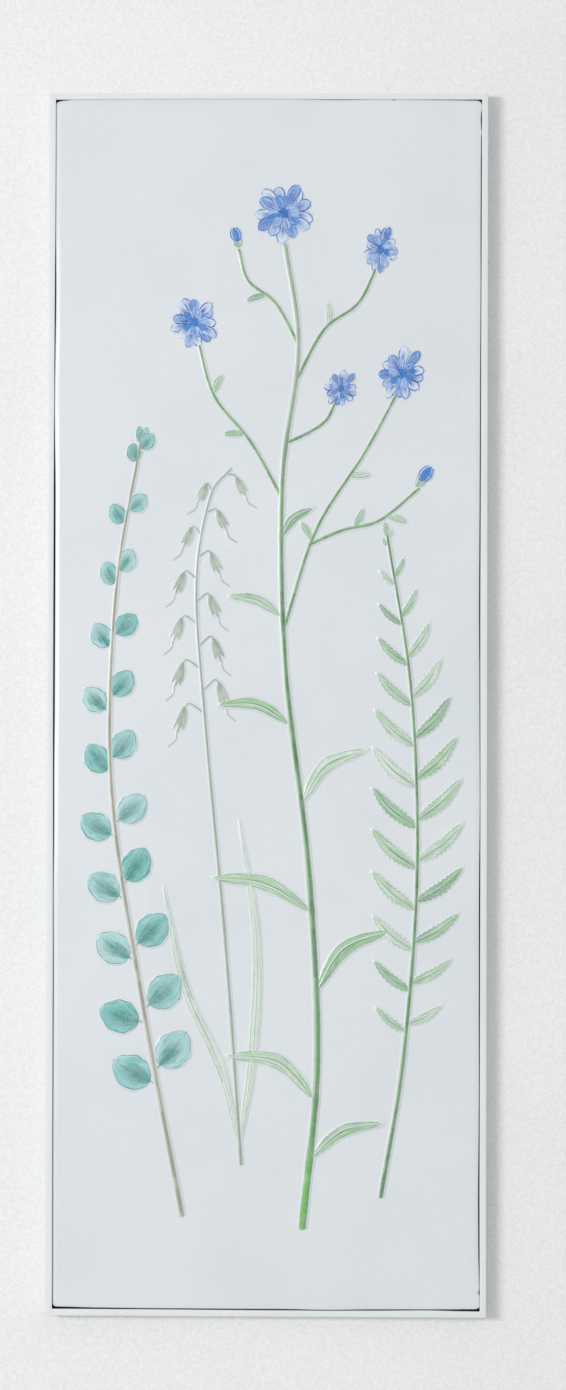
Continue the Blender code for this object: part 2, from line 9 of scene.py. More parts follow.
import bpy
import numpy as np
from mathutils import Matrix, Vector


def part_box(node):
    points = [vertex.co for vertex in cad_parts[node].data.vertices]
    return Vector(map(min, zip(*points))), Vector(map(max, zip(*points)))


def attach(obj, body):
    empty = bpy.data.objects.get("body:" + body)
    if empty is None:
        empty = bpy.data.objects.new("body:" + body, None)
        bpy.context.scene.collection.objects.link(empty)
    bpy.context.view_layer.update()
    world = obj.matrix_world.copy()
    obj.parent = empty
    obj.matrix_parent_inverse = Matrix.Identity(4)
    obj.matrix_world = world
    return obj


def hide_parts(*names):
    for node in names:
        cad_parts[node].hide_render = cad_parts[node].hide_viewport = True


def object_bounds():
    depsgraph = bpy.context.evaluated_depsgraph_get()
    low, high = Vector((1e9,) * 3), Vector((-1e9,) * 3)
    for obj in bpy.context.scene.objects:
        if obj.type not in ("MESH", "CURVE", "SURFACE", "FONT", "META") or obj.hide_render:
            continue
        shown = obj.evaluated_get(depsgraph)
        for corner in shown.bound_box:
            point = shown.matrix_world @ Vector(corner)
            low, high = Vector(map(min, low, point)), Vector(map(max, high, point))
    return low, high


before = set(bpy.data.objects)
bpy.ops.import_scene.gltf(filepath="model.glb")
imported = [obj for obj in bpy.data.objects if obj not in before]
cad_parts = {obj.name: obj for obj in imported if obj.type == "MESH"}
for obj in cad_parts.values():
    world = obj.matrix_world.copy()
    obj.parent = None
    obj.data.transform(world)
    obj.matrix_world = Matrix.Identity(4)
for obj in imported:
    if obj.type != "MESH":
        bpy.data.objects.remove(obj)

MM = 0.001
CAD_BOX = [list(corner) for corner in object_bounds()]

# The sheet, taken from the frame where the solids give it
SHEET_LOW, SHEET_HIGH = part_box("embossed_sheet")
HALF_WIDE = (SHEET_HIGH[0] - SHEET_LOW[0]) / 2 / MM
HALF_TALL = (SHEET_HIGH[2] - SHEET_LOW[2]) / 2 / MM
RIM_BACK = -SHEET_HIGH[1] / MM
SHEET_FRONT = 17.5
SHEET_THICKNESS = 0.8
SHEET_CORNER = 3.0
SHEET_EDGE = 0.6
BEVEL_START = 2.8
BEVEL_END = 4.4
BEVEL_SLOPE = 0.18
PILLOW = 0.3
GRID_STEP = 3.4
RIM_REACH = 5.2
RIM_TURN = 1.2
# Painted shade on the backing board's front, from this depth forwards, so the gaps read dark
BOARD_SHADE_START = 9.8

# Where slat and sheet almost touch: below this gap the rim is rounded and bevelled less
SHUT_GAP = 0.4
SHUT_ROUNDING = 0.2
SHUT_BEVEL = 0.6

# The slats round it, and the uneven gap between them and the sheet's rim.
# Each side lists (place along the side, gap), both in millimetres.
PANEL_WIDE = 360
PANEL_TALL = 1000
FRAME_DEPTH = 19
RAIL_FACE = 5
RAIL_ROUNDING = 0.25
# Painted shade: the slats' inner sides are dark from this far behind their front face, so the gaps round
# the sheet read dark
GAP_SHADE_DROP = 2.3
GAP_SHADE_EDGE = 0.3
MITRE_GAP = 0.04
RAIL_STATIONS = 60
ARC_STEPS = 4
SHARP_ANGLE = 50
FACE_TOP = [(-173, 5.0), (-140, 4.7), (-60, 4.45), (0, 4.4), (60, 4.8), (173, 5.1)]
FACE_BOTTOM = [(-173, 5.4), (-100, 5.3), (0, 5.0), (52, 4.9), (90, 5.2), (135, 5.7), (173, 5.0)]
FACE_LEFT = [(-493, 6.1), (-330, 5.9), (-240, 5.8), (-130, 5.5), (0, 5.05), (200, 5.0), (493, 5.7)]
FACE_RIGHT = [(-493, 5.1), (-400, 5.4), (-240, 5.3), (-120, 5.2), (80, 5.6), (240, 5.4), (493, 5.0)]
GAP_TOP = [(-173, 1.3), (-168, 0.7), (-164, 0.2), (-155, 0.06), (20, 0.08), (55, 0.3)]
GAP_TOP += [(95, 0.06), (101, 0.06), (103, 0.4), (105, 0.06), (150, 0.24), (173, 0.5)]
GAP_BOTTOM = [(-173, 1.55), (-160, 1.38), (-149, 1.1), (-137, 0.9), (-100, 0.64), (-30, 0.8)]
GAP_BOTTOM += [(10, 0.88), (52, 0.5), (92, 0.78), (135, 0.48), (150, 0.85), (164, 1.4), (173, 1.6)]
GAP_LEFT = [(-493, 0.4), (-487, 0.22), (-400, 0.2), (-240, 0.34), (-159, 0.22), (-77, 0.74)]
GAP_LEFT += [(4, 1.3), (168, 1.3), (250, 0.16), (331, 0.9), (397, 0.08), (437, 0.01), (493, 0.01)]
GAP_RIGHT = [(-493, 0.12), (-483, 0.15), (-480, 0.95), (-477, 0.3), (-446, 0.88), (-405, 0.98)]
GAP_RIGHT += [(-323, 0.54), (-241, 0.76), (-159, 0.93), (-77, 0.36), (4, 0.56), (86, 0.9), (168, 0.72)]
GAP_RIGHT += [(249, 0.64), (331, 0.45), (398, 0.72), (437, 0.72), (462, 0.55), (465, 0.45)]
GAP_RIGHT += [(468, 0.08), (471, 0.45), (479, 0.9), (484, 0.6), (487, 0.08), (490, 0.1), (493, 0.4)]
NICKS_ACROSS = (101, 102, 103, 104, 105)
NICKS_UPWARD = (-483, -481.5, -480.5, -480, -479.5, -478.5, -477, 465, 468, 471, 484.5, 487, 489)

# The raised shapes: how finely they are divided, and how high they stand on the sheet
CURVE_STEPS = 24
STEM_POINTS = 200
FLANK_STEPS = 4
STRIP_ROOT = 0.45
STRIP_VALUES = ("across", "along", "edge", "seed")
STEM_STREAKS = 1.4
RISE_STEM = 0.85
RISE_STALK = RISE_STEM * 0.8
RISE_GRASS = RISE_STEM * 0.85
RISE_LEAF = 0.72
RISE_AWN = RISE_LEAF * 0.7
RISE_PETAL = 0.8
RISE_INNER = RISE_PETAL * 1.1
RISE_BUD = RISE_PETAL * 1.3
RISE_HEART = RISE_PETAL * 1.35
RISE_KNOB = RISE_PETAL * 1.7
UP = Vector((0, 1))

# Centre lines of the four plants, as (x, z) from the middle of the panel
ASTER_STEM = [(30, -428), (42, -290), (34, -130), (15, 30), (12, 180), (25, 290), (14, 376)]
TEAL_STEM = [(-68, -418), (-100, -250), (-127, -70), (-124, 90), (-104, 214)]
FERN_STEM = [(94, -402), (112, -290), (123, -140), (118, 10), (98, 138)]
GRASS_STEM = [(-20, -376), (-33, -200), (-50, -20), (-58, 96), (-47, 168), (-30, 192)]

# Aster side stalks, each ending in a flower or a bud
ASTER_STALKS = [
    [(14, 62), (40, 142), (80, 206), (108, 258)],
    [(12, 168), (-14, 214), (-44, 252), (-58, 300)],
    [(22, 262), (46, 306), (74, 328), (90, 360)],
    [(34, 130), (62, 142), (92, 150), (124, 176)],
    [(24, 296), (6, 328), (-16, 346), (-24, 372)],
    [(17, 214), (34, 222), (48, 232), (56, 248)],
]

# Flowers as (x, z, radius, width over height, lean in degrees)
ASTER_FLOWERS = [
    (13, 402, 24, 1.0, 8),
    (110, 270, 22, 0.82, -24),
    (-60, 312, 21, 0.9, 20),
    (92, 372, 19, 0.7, -12),
    (60, 258, 15, 0.85, -30),
]
ASTER_BUDS = [(128, 186, 17, 11, -38), (-26, 382, 14, 9, 16)]
PETALS = 13
INNER_PETALS = 9
HEART_KNOBS = 15
GOLDEN_ANGLE = 2.39996
GOLDEN_SHARE = 0.618034

# Aster leaves as (place along the stem, side, length, width, angle up, droop)
ASTER_LEAVES = [
    (0.07, 1, 70, 9, 52, 34),
    (0.13, -1, 88, 11, 48, 46),
    (0.24, 1, 82, 11, 60, 40),
    (0.32, -1, 90, 11, 40, 30),
    (0.43, 1, 74, 10, 56, 42),
    (0.51, -1, 66, 9, 44, 38),
    (0.62, -1, 50, 8, 40, 30),
    (0.70, 1, 38, 7, 62, 34),
]

# Small leaves on the side stalks as (stalk, place along it, side)
STALK_LEAVES = [
    (0, 0.34, -1),
    (0, 0.62, 1),
    (1, 0.40, -1),
    (1, 0.68, 1),
    (2, 0.46, -1),
    (3, 0.38, -1),
    (3, 0.66, 1),
    (4, 0.50, -1),
]
STALK_LEAF_LENGTH = 18
STALK_LEAF_WIDTH = 5.2
STALK_LEAF_ANGLE = 44
STALK_LEAF_DROOP = 14

# The teal branch: round leaves in pairs that shrink towards the tip
TEAL_PAIRS = 11
TEAL_FIRST = 0.17
TEAL_LAST = 0.97
TEAL_OFFSET = 0.018
TEAL_ANGLE_LOW = 62
TEAL_ANGLE_HIGH = 32
TEAL_WOBBLE = 9
TEAL_DROOP = 8
TEAL_LEAF_LARGE = 41
TEAL_LEAF_SMALL = 18
TEAL_LEAF_SHAPE = 0.66

# The fern: pinnae in pairs, longest below the middle
FERN_PAIRS = 13
FERN_FIRST = 0.25
FERN_LAST = 0.985
FERN_OFFSET = 0.012
FERN_ANGLE_LOW = 66
FERN_ANGLE_HIGH = 44
FERN_DROOP = 16
FERN_PINNA_LONGEST = 47
FERN_PINNA_WIDTH = 0.2
FERN_PINNA_NARROWEST = 4.2

# The grass: hanging spikelets and long blades
SPIKELETS = 12
SPIKELET_FIRST = 0.64
SPIKELET_LAST = 0.99
SPIKELET_REACH_LOW = 26
SPIKELET_REACH_HIGH = 12
SPIKELET_LENGTH = 23
SPIKELET_WIDTH = 6.5
GRASS_BLADES = [
    [(-20, -366), (-36, -300), (-66, -232), (-84, -150)],
    [(-21, -360), (-10, -280), (-8, -190), (-22, -96)],
]
BLADE_WIDTH = 7

# The camera, solved for the frame's four corners in the 566 by 1390 picture
CAMERA_PLACE = (0.0681, -3.0, -0.0414)
CAMERA_PITCH = 0.9266
CAMERA_ROLL = -0.161
CAMERA_YAW = 1.050
CAMERA_LENS = 94.5
CAMERA_SENSOR = 36.0

# The room: a wall behind the panel, and a floor below it
WALL_REACH = 4.0
WALL_BACK_OFF = 0.0004
WALL_LAP = 0.001
FLOOR_DROP = 1.35
FLOOR_REACH = 14.0
KEY_ANGLE = 30.3
KEY_LIFT = 4.6
KEY_DISTANCE = 4.2
KEY_WIDTH = 1.54
KEY_HEIGHT = 0.7
KEY_POWER = 74
KEY_TINT = (1.0, 0.995, 0.99)
BACK_PLACE = (1.6, 3.0, 1.6)
BACK_SIZE = 2.0
BACK_POWER = 70
FILL_STRENGTH = 0.685


def linear(*steps):
    """Turn a colour given in display steps of 0 to 255 into a linear one."""
    values = [step / 255 for step in steps]
    colour = [value / 12.92 if value <= 0.04045 else ((value + 0.055) / 1.055) ** 2.4 for value in values]
    return (*colour, 1.0)


# Colours of the enamel and of the washes painted on it
GROUND = linear(224, 229, 233)
GROUND_DEEP = linear(219, 225, 229)
WALL_WHITE = linear(240, 240, 239)
WALL_PATCH = linear(237, 237, 237)
FLOOR_PALE = linear(200, 201, 201)
LACQUER = linear(227, 232, 233)
LACQUER_DEEP = linear(224, 229, 231)
# Painted shade for the gaps round the sheet, on the slats' inner sides and the board's front
SHADOW_PAINT = linear(40, 44, 48)
BOARD_DARK = linear(150, 118, 88)
BOARD_LIGHT = linear(196, 164, 128)
BOARD_CLOUD = linear(164, 134, 104)
ZINC_DARK = linear(190, 192, 196)
ZINC_LIGHT = linear(216, 217, 220)
GREEN_LIGHT = linear(216, 231, 217)
GREEN_MID = linear(163, 203, 161)
GREEN_DARK = linear(95, 154, 102)
GREEN_INK = linear(38, 96, 58)
STEM_GREENS = (linear(170, 206, 160), linear(134, 177, 128), linear(84, 128, 92), GREEN_INK)
SPRING_GREEN = linear(112, 196, 84)
TEALS = (linear(178, 216, 218), linear(120, 191, 189), linear(12, 152, 140), linear(0, 130, 116))
BLUE_LIGHT = linear(210, 225, 243)
BLUE_MID = linear(155, 188, 232)
BLUE_DARK = linear(48, 128, 206)
BLUE_INK = linear(0, 80, 178)
SAGE_LIGHT = linear(204, 214, 206)
SAGE_MID = linear(184, 196, 184)
SAGE_DARK = linear(150, 164, 148)
SAGE_INK = linear(118, 136, 118)
BEIGE_LIGHT = linear(212, 214, 202)
BEIGE_MID = linear(196, 198, 184)
BEIGE_DARK = linear(158, 160, 142)
BEIGE_INK = linear(126, 130, 106)

# Depths of the finishes' fine bumps, in metres
PEEL_DEPTH = 0.00002
LACQUER_DEPTH = 0.00003
FIBRE_DEPTH = 0.00008
BRUSH_DEPTH = 0.00002
ROLLER_DEPTH = 0.0008


def link_object(name, data):
    """Put a new object in the scene."""
    piece = bpy.data.objects.new(name, data)
    bpy.context.scene.collection.objects.link(piece)
    return piece


def keep_values(mesh, name, values):
    """Give each vertex of a mesh one named value."""
    layer = mesh.attributes.new(name, "FLOAT", "POINT")
    layer.data.foreach_set("value", np.array(values, dtype=np.float32))


def band(first, second):
    """Give the faces between two closed rings of vertices."""
    return list(zip(first, first[1:] + first[:1], second[1:] + second[:1], second))


def flipped(faces):
    """Turn faces the other way round."""
    return [tuple(reversed(face)) for face in faces]


def curve_point(before, start, end, after, share):
    """Give a point of a smooth curve, at a share of the way from one knot to the next."""
    bend = 2 * before - 5 * start + 4 * end - after
    turn = 3 * start - 3 * end + after - before
    return 0.5 * (2 * start + (end - before) * share + bend * share**2 + turn * share**3)


def smooth_line(points, count):
    """Read evenly spaced points from a smooth curve through the given ones."""
    knots = [Vector(point) for point in points]
    knots = [2 * knots[0] - knots[1], *knots, 2 * knots[-1] - knots[-2]]
    dense = []
    for index in range(1, len(knots) - 2):
        near = knots[index - 1 : index + 3]
        dense += [curve_point(*near, step / CURVE_STEPS) for step in range(CURVE_STEPS)]
    dense.append(knots[-2])
    reach = [0.0]
    for first, second in zip(dense, dense[1:]):
        reach.append(reach[-1] + (second - first).length)
    line = []
    place = 0
    for number in range(count):
        wanted = reach[-1] * number / (count - 1)
        while place < len(dense) - 2 and reach[place + 1] < wanted:
            place += 1
        share = (wanted - reach[place]) / (reach[place + 1] - reach[place])
        line.append(dense[place].lerp(dense[place + 1], share))
    return line


def on_line(line, share):
    """Give the point and direction at a share of a line's length."""
    place = min(max(share, 0.0), 1.0) * (len(line) - 1)
    index = min(int(place), len(line) - 2)
    point = line[index].lerp(line[index + 1], place - index)
    before = line[max(index - 1, 0)]
    after = line[min(index + 2, len(line) - 1)]
    return point, (after - before).normalized()


def turned(heading, degrees):
    """Turn a flat direction anticlockwise, as seen from the front."""
    angle = math.radians(degrees)
    across = math.cos(angle)
    up = math.sin(angle)
    return Vector((heading.x * across - heading.y * up, heading.x * up + heading.y * across))


def curved_leaf(base, heading, length, droop):
    """Give the centre line of a leaf that leaves a stem and bends by droop degrees."""
    middle = base + turned(heading, droop * 0.15) * length * 0.5
    tip = middle + turned(heading, droop) * length * 0.5
    return smooth_line([base, middle, tip], 25)


def ease(value):
    """Ease a share from 0 to 1, flat at both ends."""
    value = min(max(value, 0.0), 1.0)
    return value * value * (3 - 2 * value)


def mix_shares(first, second, share):
    """Give a value between two, held at the ends."""
    return first + (second - first) * min(max(share, 0.0), 1.0)


def bevel_drop(room):
    """Give how far the sheet's border has dropped at a distance from its rim."""
    turn = BEVEL_END - BEVEL_START
    bend = min(max(BEVEL_END - room, 0.0), turn)
    return BEVEL_SLOPE * (bend**2 / (2 * turn) + max(BEVEL_START - room, 0.0))


def sheet_depth(x, z):
    """Give how far the sheet's face stands from the wall, with its slight pillow and waves."""
    across = max(1 - (x / HALF_WIDE) ** 2, 0)
    along = max(1 - (z / HALF_TALL) ** 2, 0)
    pillow = PILLOW * (across * along) ** 0.5
    wave = 0.05 * math.sin(x / 31 + 0.8) * math.sin(z / 47 + 0.3)
    wave += 0.04 * math.sin(x / 17 - z / 23)
    bevel = bevel_drop(HALF_WIDE - abs(x)) + bevel_drop(HALF_TALL - abs(z))
    return SHEET_FRONT + pillow + wave * ease(across * 6) * ease(along * 14) - bevel


def slope_share(out):
    """Give the height share on a flank, from 1 at its crest to 0 at its foot."""
    return 1 - out + 0.05 * math.sin(2 * math.pi * out)


class Relief:
    """Raised strips gathered into one mesh, each vertex knowing where it lies on its strip."""

    def __init__(self, name):
        self.name = name
        self.points = []
        self.faces = []
        self.values = {value: [] for value in STRIP_VALUES}
        self.strips = 0

    def add_point(self, spot, rise, *values):
        """Keep one vertex and its place on the strip."""
        depth = sheet_depth(spot.x, spot.y) + rise
        self.points.append((spot.x * MM, -depth * MM, spot.y * MM))
        for kept, value in zip(self.values.values(), values):
            kept.append(value)
        return len(self.points) - 1

    def add_strip(
        self, line, width_at, rise, skirt, columns, rows, rib=0.0, dome=0.0, blunt=False, bleed=0.0
    ):
        """Raise a strip along a line: painted between its edges, sloping to the sheet past them."""
        self.strips += 1
        seed = (self.strips * GOLDEN_SHARE) % 1.0
        stations = [(-skirt * (row / 3) ** 1.3, 0.0) for row in (3, 2, 1)]
        stations += [(0.0, row / rows) for row in range(rows + 1)]
        stations += [(skirt * (row / 3) ** 1.3, 1.0) for row in (1, 2, 3)]
        flank = [1 + step / FLANK_STEPS for step in range(1, FLANK_STEPS + 1)]
        places = [-across for across in reversed(flank)]
        places += [2 * step / columns - 1 for step in range(columns + 1)]
        places += flank
        rings = []
        for beyond, share in stations:
            point, heading = on_line(line, share)
            point = point + heading * beyond
            side = turned(heading, 90)
            out = min(abs(beyond) / skirt, 1.0)
            half = width_at(share)
            if beyond:
                half *= (1 - out**2) ** 0.5 if blunt else 1 - out
            fall = slope_share(out)
            foot = skirt * (1 - 0.75 * out)
            crest = rise * fall * min(1.0, 0.35 + half / 2.0)
            ring = []
            for across in places:
                drop = abs(across) - 1
                if drop > 0:
                    reach = math.copysign(half + foot * drop, across)
                    lift = crest * slope_share(drop)
                    edge = bleed - foot * drop
                else:
                    reach = across * half
                    ridge = math.exp(-((across * max(half, 0.4) / 0.55) ** 2)) * (1 - share**3)
                    lift = crest + dome * (1 - across**2) * fall * min(half / 3, 1)
                    lift += rib * ridge * fall
                    edge = half * (1 - abs(across)) - abs(beyond) + bleed
                ring.append(self.add_point(point + side * reach, lift, across, share, edge, seed))
            for reach in (half + foot, -(half + foot)):
                ring.append(self.add_point(point + side * reach, -STRIP_ROOT, 2.0, share, -foot, seed))
            rings.append(ring)
        for first, second in zip(rings, rings[1:]):
            self.faces += band(first, second)
        self.faces.append(tuple(reversed(rings[0])))
        self.faces.append(tuple(rings[-1]))

    def finish(self, material):
        """Make the mesh object, smooth, with its painting coordinates."""
        mesh = bpy.data.meshes.new(self.name)
        mesh.from_pydata(self.points, [], self.faces)
        mesh.validate()
        for name, values in self.values.items():
            keep_values(mesh, name, values)
        mesh.shade_smooth()
        mesh.materials.append(material)
        piece = link_object(self.name, mesh)
        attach(piece, "root")


class Nodes:
    """Short calls for building one material's nodes."""

    def __init__(self, name):
        self.material = bpy.data.materials.new(name)
        self.material.use_nodes = True
        self.tree = self.material.node_tree
        self.shader = self.tree.nodes["Principled BSDF"]
        self.place = self.tree.nodes.new("ShaderNodeTexCoord").outputs["Object"]

    def link(self, value, socket):
        """Set a socket from another node's output, a number or a colour."""
        if isinstance(value, bpy.types.NodeSocket):
            self.tree.links.new(value, socket)
        else:
            socket.default_value = value

    def math(self, operation, first, second=0.0):
        """Add a Math node."""
        node = self.tree.nodes.new("ShaderNodeMath")
        node.operation = operation
        self.link(first, node.inputs[0])
        self.link(second, node.inputs[1])
        return node.outputs[0]

    def add(self, first, second):
        """Add two values."""
        return self.math("ADD", first, second)

    def times(self, first, second):
        """Multiply two values."""
        return self.math("MULTIPLY", first, second)

    def absolute(self, value):
        """Give a value without its sign."""
        return self.math("ABSOLUTE", value)

    def ramp(self, value, low=0.3, high=0.7, start=0.0, end=1.0):
        """Ease a value from one range to another."""
        node = self.tree.nodes.new("ShaderNodeMapRange")
        node.interpolation_type = "SMOOTHSTEP"
        for amount, name in (
            (value, "Value"),
            (low, "From Min"),
            (high, "From Max"),
            (start, "To Min"),
            (end, "To Max"),
        ):
            self.link(amount, node.inputs[name])
        return node.outputs[0]

    def mix(self, factor, first, second, blend="MIX"):
        """Mix two colours."""
        node = self.tree.nodes.new("ShaderNodeMix")
        node.data_type = "RGBA"
        node.blend_type = blend
        self.link(factor, node.inputs[0])
        self.link(first, node.inputs[6])
        self.link(second, node.inputs[7])
        return node.outputs[2]

    def shaded(self, colour, value, low, high):
        """Darken and lighten a colour by a noise value, from one factor to another."""
        shade = self.ramp(value, 0.3, 0.7, low, high)
        return self.mix(1.0, colour, self.vector(shade, shade, shade), "MULTIPLY")

    def attribute(self, name):
        """Read a vertex value."""
        node = self.tree.nodes.new("ShaderNodeAttribute")
        node.attribute_name = name
        return node.outputs["Fac"]

    def vector(self, x, y, z):
        """Join three values."""
        node = self.tree.nodes.new("ShaderNodeCombineXYZ")
        for value, socket in zip((x, y, z), node.inputs):
            self.link(value, socket)
        return node.outputs[0]

    def noise(self, scale, detail=2.0, roughness=0.5, vector=None):
        """Add a noise texture, over the object's own coordinates if none are given."""
        node = self.tree.nodes.new("ShaderNodeTexNoise")
        self.link(self.place if vector is None else vector, node.inputs["Vector"])
        node.inputs["Scale"].default_value = scale
        node.inputs["Detail"].default_value = detail
        node.inputs["Roughness"].default_value = roughness
        return node.outputs[0]

    def bump(self, height, distance, strength):
        """Add a bump."""
        node = self.tree.nodes.new("ShaderNodeBump")
        node.inputs["Distance"].default_value = distance
        node.inputs["Strength"].default_value = strength
        self.link(height, node.inputs["Height"])
        return node.outputs[0]

    def done(self, colour, roughness, normal=None):
        """Wire the shader."""
        self.link(colour, self.shader.inputs["Base Color"])
        self.link(roughness, self.shader.inputs["Roughness"])
        if normal is not None:
            self.link(normal, self.shader.inputs["Normal"])
        return self.material


def enamel_ground(nodes):
    """Give the enamel's colour, roughness and bump, the same on every raised shape."""
    cloud = nodes.noise(9.0, 3.0, 0.55)
    speck = nodes.noise(900.0, 2.0, 0.6)
    colour = nodes.mix(nodes.ramp(cloud, 0.35, 0.7), GROUND, GROUND_DEEP)
    colour = nodes.shaded(colour, speck, 0.978, 1.018)
    roughness = nodes.ramp(cloud, 0.3, 0.7, 0.25, 0.31)
    peel = nodes.noise(260.0)
    normal = nodes.bump(peel, PEEL_DEPTH, 0.5)
    return colour, roughness, normal


def enamel_material():
    """The bare pale enamel."""
    nodes = Nodes("pale_enamel")
    return nodes.done(*enamel_ground(nodes))


def wash_material(
    name, colours, streaks=3.0, balance=0.0, pool=0.4, outline=0.0, outline_width=0.7, rib_line=0.0,
    rib_light=0.0, bare_tip=0.0, overlap=0.0, heart=0.0, heart_reach=0.6, core=0.0, shadow_side=0.0,
    fade=0.2, variety=0.16, ends=None,
):
    """A translucent wash over the enamel, with pooled edges, streaks and ink lines."""
    light, mid, dark, ink = colours
    nodes = Nodes(name)
    add = nodes.add
    times = nodes.times
    ramp = nodes.ramp
    mix = nodes.mix
    ground, roughness, normal = enamel_ground(nodes)
    across, along, edge, seed = [nodes.attribute(value) for value in STRIP_VALUES]
    ragged = nodes.noise(420.0, 2.0, 0.6)
    blot = nodes.noise(85.0, 3.0, 0.6)
    grain = nodes.noise(1100.0, 2.0, 0.6)
    seed_far = times(seed, 37.0)
    lengthwise = nodes.vector(times(across, streaks), times(along, 1.6), seed_far)
    streak = nodes.noise(1.5, 3.0, 0.55, lengthwise)
    inward = nodes.absolute(across)
    own = times(add(seed, -0.5), variety)
    tone = add(add(times(streak, 0.7), times(blot, 0.5)), add(own, balance))
    if core:
        tone = add(tone, ramp(nodes.absolute(add(across, 0.18)), 0.85, 0.15, -core, core))
    colour = mix(ramp(tone, 0.42, 0.64), light, mid)
    colour = mix(ramp(tone, 0.64, 0.84), colour, dark)
    if overlap:
        stretch = nodes.vector(times(along, 15.0), seed_far, 0.0)
        second = ramp(nodes.noise(1.0, 1.0, vector=stretch), 0.5, 0.53)
        second = times(second, ramp(add(inward, times(streak, 0.5)), 1.0, 0.85))
        colour = mix(times(second, overlap), colour, ink)
    if ends:
        low, high = ends
        colour = mix(ramp(along, 0.16, 0.02, 0.0, 0.75), colour, low)
        colour = mix(ramp(along, 0.62, 0.95, 0.0, 0.7), colour, high)
    rim = ramp(add(edge, times(ragged, 0.6)), 1.35, 0.2)
    colour = mix(times(rim, pool), colour, dark)
    if shadow_side:
        side = ramp(add(across, streak), 0.35, -0.35)
        colour = mix(times(side, shadow_side), colour, ink)
    if heart:
        spread = ramp(add(inward, times(streak, 1.4)), 1.3, 0.95)
        stroke = times(ramp(along, heart_reach, heart_reach * 0.4), spread)
        colour = mix(times(stroke, heart), colour, ink)
    # Partly a bare enamel stripe beside the midrib, partly painted highlight from the raised rib
    if rib_light:
        shine = ramp(nodes.absolute(add(across, -0.2)), 0.18, 0.04)
        colour = mix(times(shine, rib_light), colour, ground)
    if rib_line:
        middle = nodes.absolute(add(across, times(add(streak, -0.5), 0.22)))
        line = times(ramp(middle, 0.14, 0.04), ramp(along, 0.96, 0.5, 0.15, 1.0))
        colour = mix(times(line, rib_line), colour, ink)
    if outline:
        thin = add(edge, times(ragged, 0.4))
        thin = ramp(thin, 0.3 + outline_width, 0.2 + outline_width * 0.4)
        broken = ramp(nodes.noise(140.0, 1.0), 0.36, 0.55)
        colour = mix(times(times(thin, broken), outline), colour, ink)
    body = add(times(blot, 0.6), times(grain, 0.4))
    colour = mix(ramp(body, 0.35, 0.7, 0.0, fade), colour, ground)
    reach = add(edge, times(add(ragged, -0.5), 0.7))
    if bare_tip:
        reach = nodes.math("SUBTRACT", reach, ramp(along, 0.9, 1.0, 0.0, bare_tip))
    colour = mix(ramp(reach, -0.15, 0.2), ground, colour)
    return nodes.done(colour, roughness, normal)


def lacquer_material():
    """Thin white lacquer on the slats, with a trace of grain, and painted shade on their inner sides."""
    nodes = Nodes("white_lacquer")
    cloud = nodes.noise(14.0)
    grain = nodes.noise(340.0, 2.0, 0.6)
    colour = nodes.mix(nodes.ramp(cloud), LACQUER, LACQUER_DEEP)
    # Painted shade on the slats' inner sides, where the gaps fall dark
    colour = nodes.mix(nodes.attribute("painted_gap_shade"), colour, SHADOW_PAINT)
    roughness = nodes.ramp(grain, 0.3, 0.7, 0.34, 0.46)
    normal = nodes.bump(grain, LACQUER_DEPTH, 0.6)
    return nodes.done(colour, roughness, normal)


def fibreboard_material():
    """Fibreboard: short fibres in two browns, with painted shade from one depth forwards."""
    nodes = Nodes("fibreboard")
    fibres = nodes.noise(700.0, 4.0, 0.7)
    cloud = nodes.noise(22.0, 3.0)
    colour = nodes.mix(nodes.ramp(fibres), BOARD_DARK, BOARD_LIGHT)
    colour = nodes.mix(nodes.ramp(cloud, 0.3, 0.8, 0.0, 0.35), colour, BOARD_CLOUD)
    depth = nodes.tree.nodes.new("ShaderNodeSeparateXYZ")
    nodes.link(nodes.place, depth.inputs[0])
    # Painted shade: the board is dark forwards of this depth, behind the gaps
    painted = nodes.math("LESS_THAN", depth.outputs["Y"], -BOARD_SHADE_START * MM)
    colour = nodes.mix(painted, colour, SHADOW_PAINT)
    normal = nodes.bump(fibres, FIBRE_DEPTH, 0.7)
    return nodes.done(colour, nodes.ramp(fibres, 0.2, 0.8, 0.78, 0.92), normal)


def zinc_material():
    """Bright zinc plate with a faint brushed grain."""
    nodes = Nodes("zinc_plate")
    nodes.shader.inputs["Metallic"].default_value = 1.0
    brushed = nodes.noise(1500.0, 2.0, 0.6)
    spangle = nodes.noise(120.0)
    colour = nodes.mix(nodes.ramp(spangle), ZINC_DARK, ZINC_LIGHT)
    normal = nodes.bump(brushed, BRUSH_DEPTH, 0.5)
    return nodes.done(colour, nodes.ramp(spangle, 0.3, 0.7, 0.28, 0.42), normal)


def dress_cad_nodes():
    """Give the carried-over solids their finishes."""
    zinc = zinc_material()
    finishes = {"backing": fibreboard_material(), "hanger": zinc, "screw": zinc}
    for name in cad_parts:
        finish = finishes.get(name.split("_")[0])
        if finish:
            materials = bpy.data.objects[name].data.materials
            materials.clear()
            materials.append(finish)


def level_at(levels, place):
    """Read a measure at a place along one side, easing from one listed place to the next."""
    for (low, first), (high, second) in zip(levels, levels[1:]):
        if place <= high:
            return mix_shares(first, second, ease((place - low) / (high - low)))
    return levels[-1][1]


def sheet_lines(half, extra):
    """Give grid lines from one side to the other, close together at the rounded rims."""
    rim = (0.0, 0.05, 0.15, 0.32, SHEET_EDGE, 1.3, 2.1, BEVEL_START, 3.3, 3.8, BEVEL_END, RIM_REACH)
    inner = half - rim[-1]
    count = math.ceil(2 * inner / GRID_STEP)
    lines = [-inner + 2 * inner * step / count for step in range(1, count)]
    lines += [side * (half - gap) for gap in rim for side in (-1, 1)]
    lines += extra
    return sorted(lines)


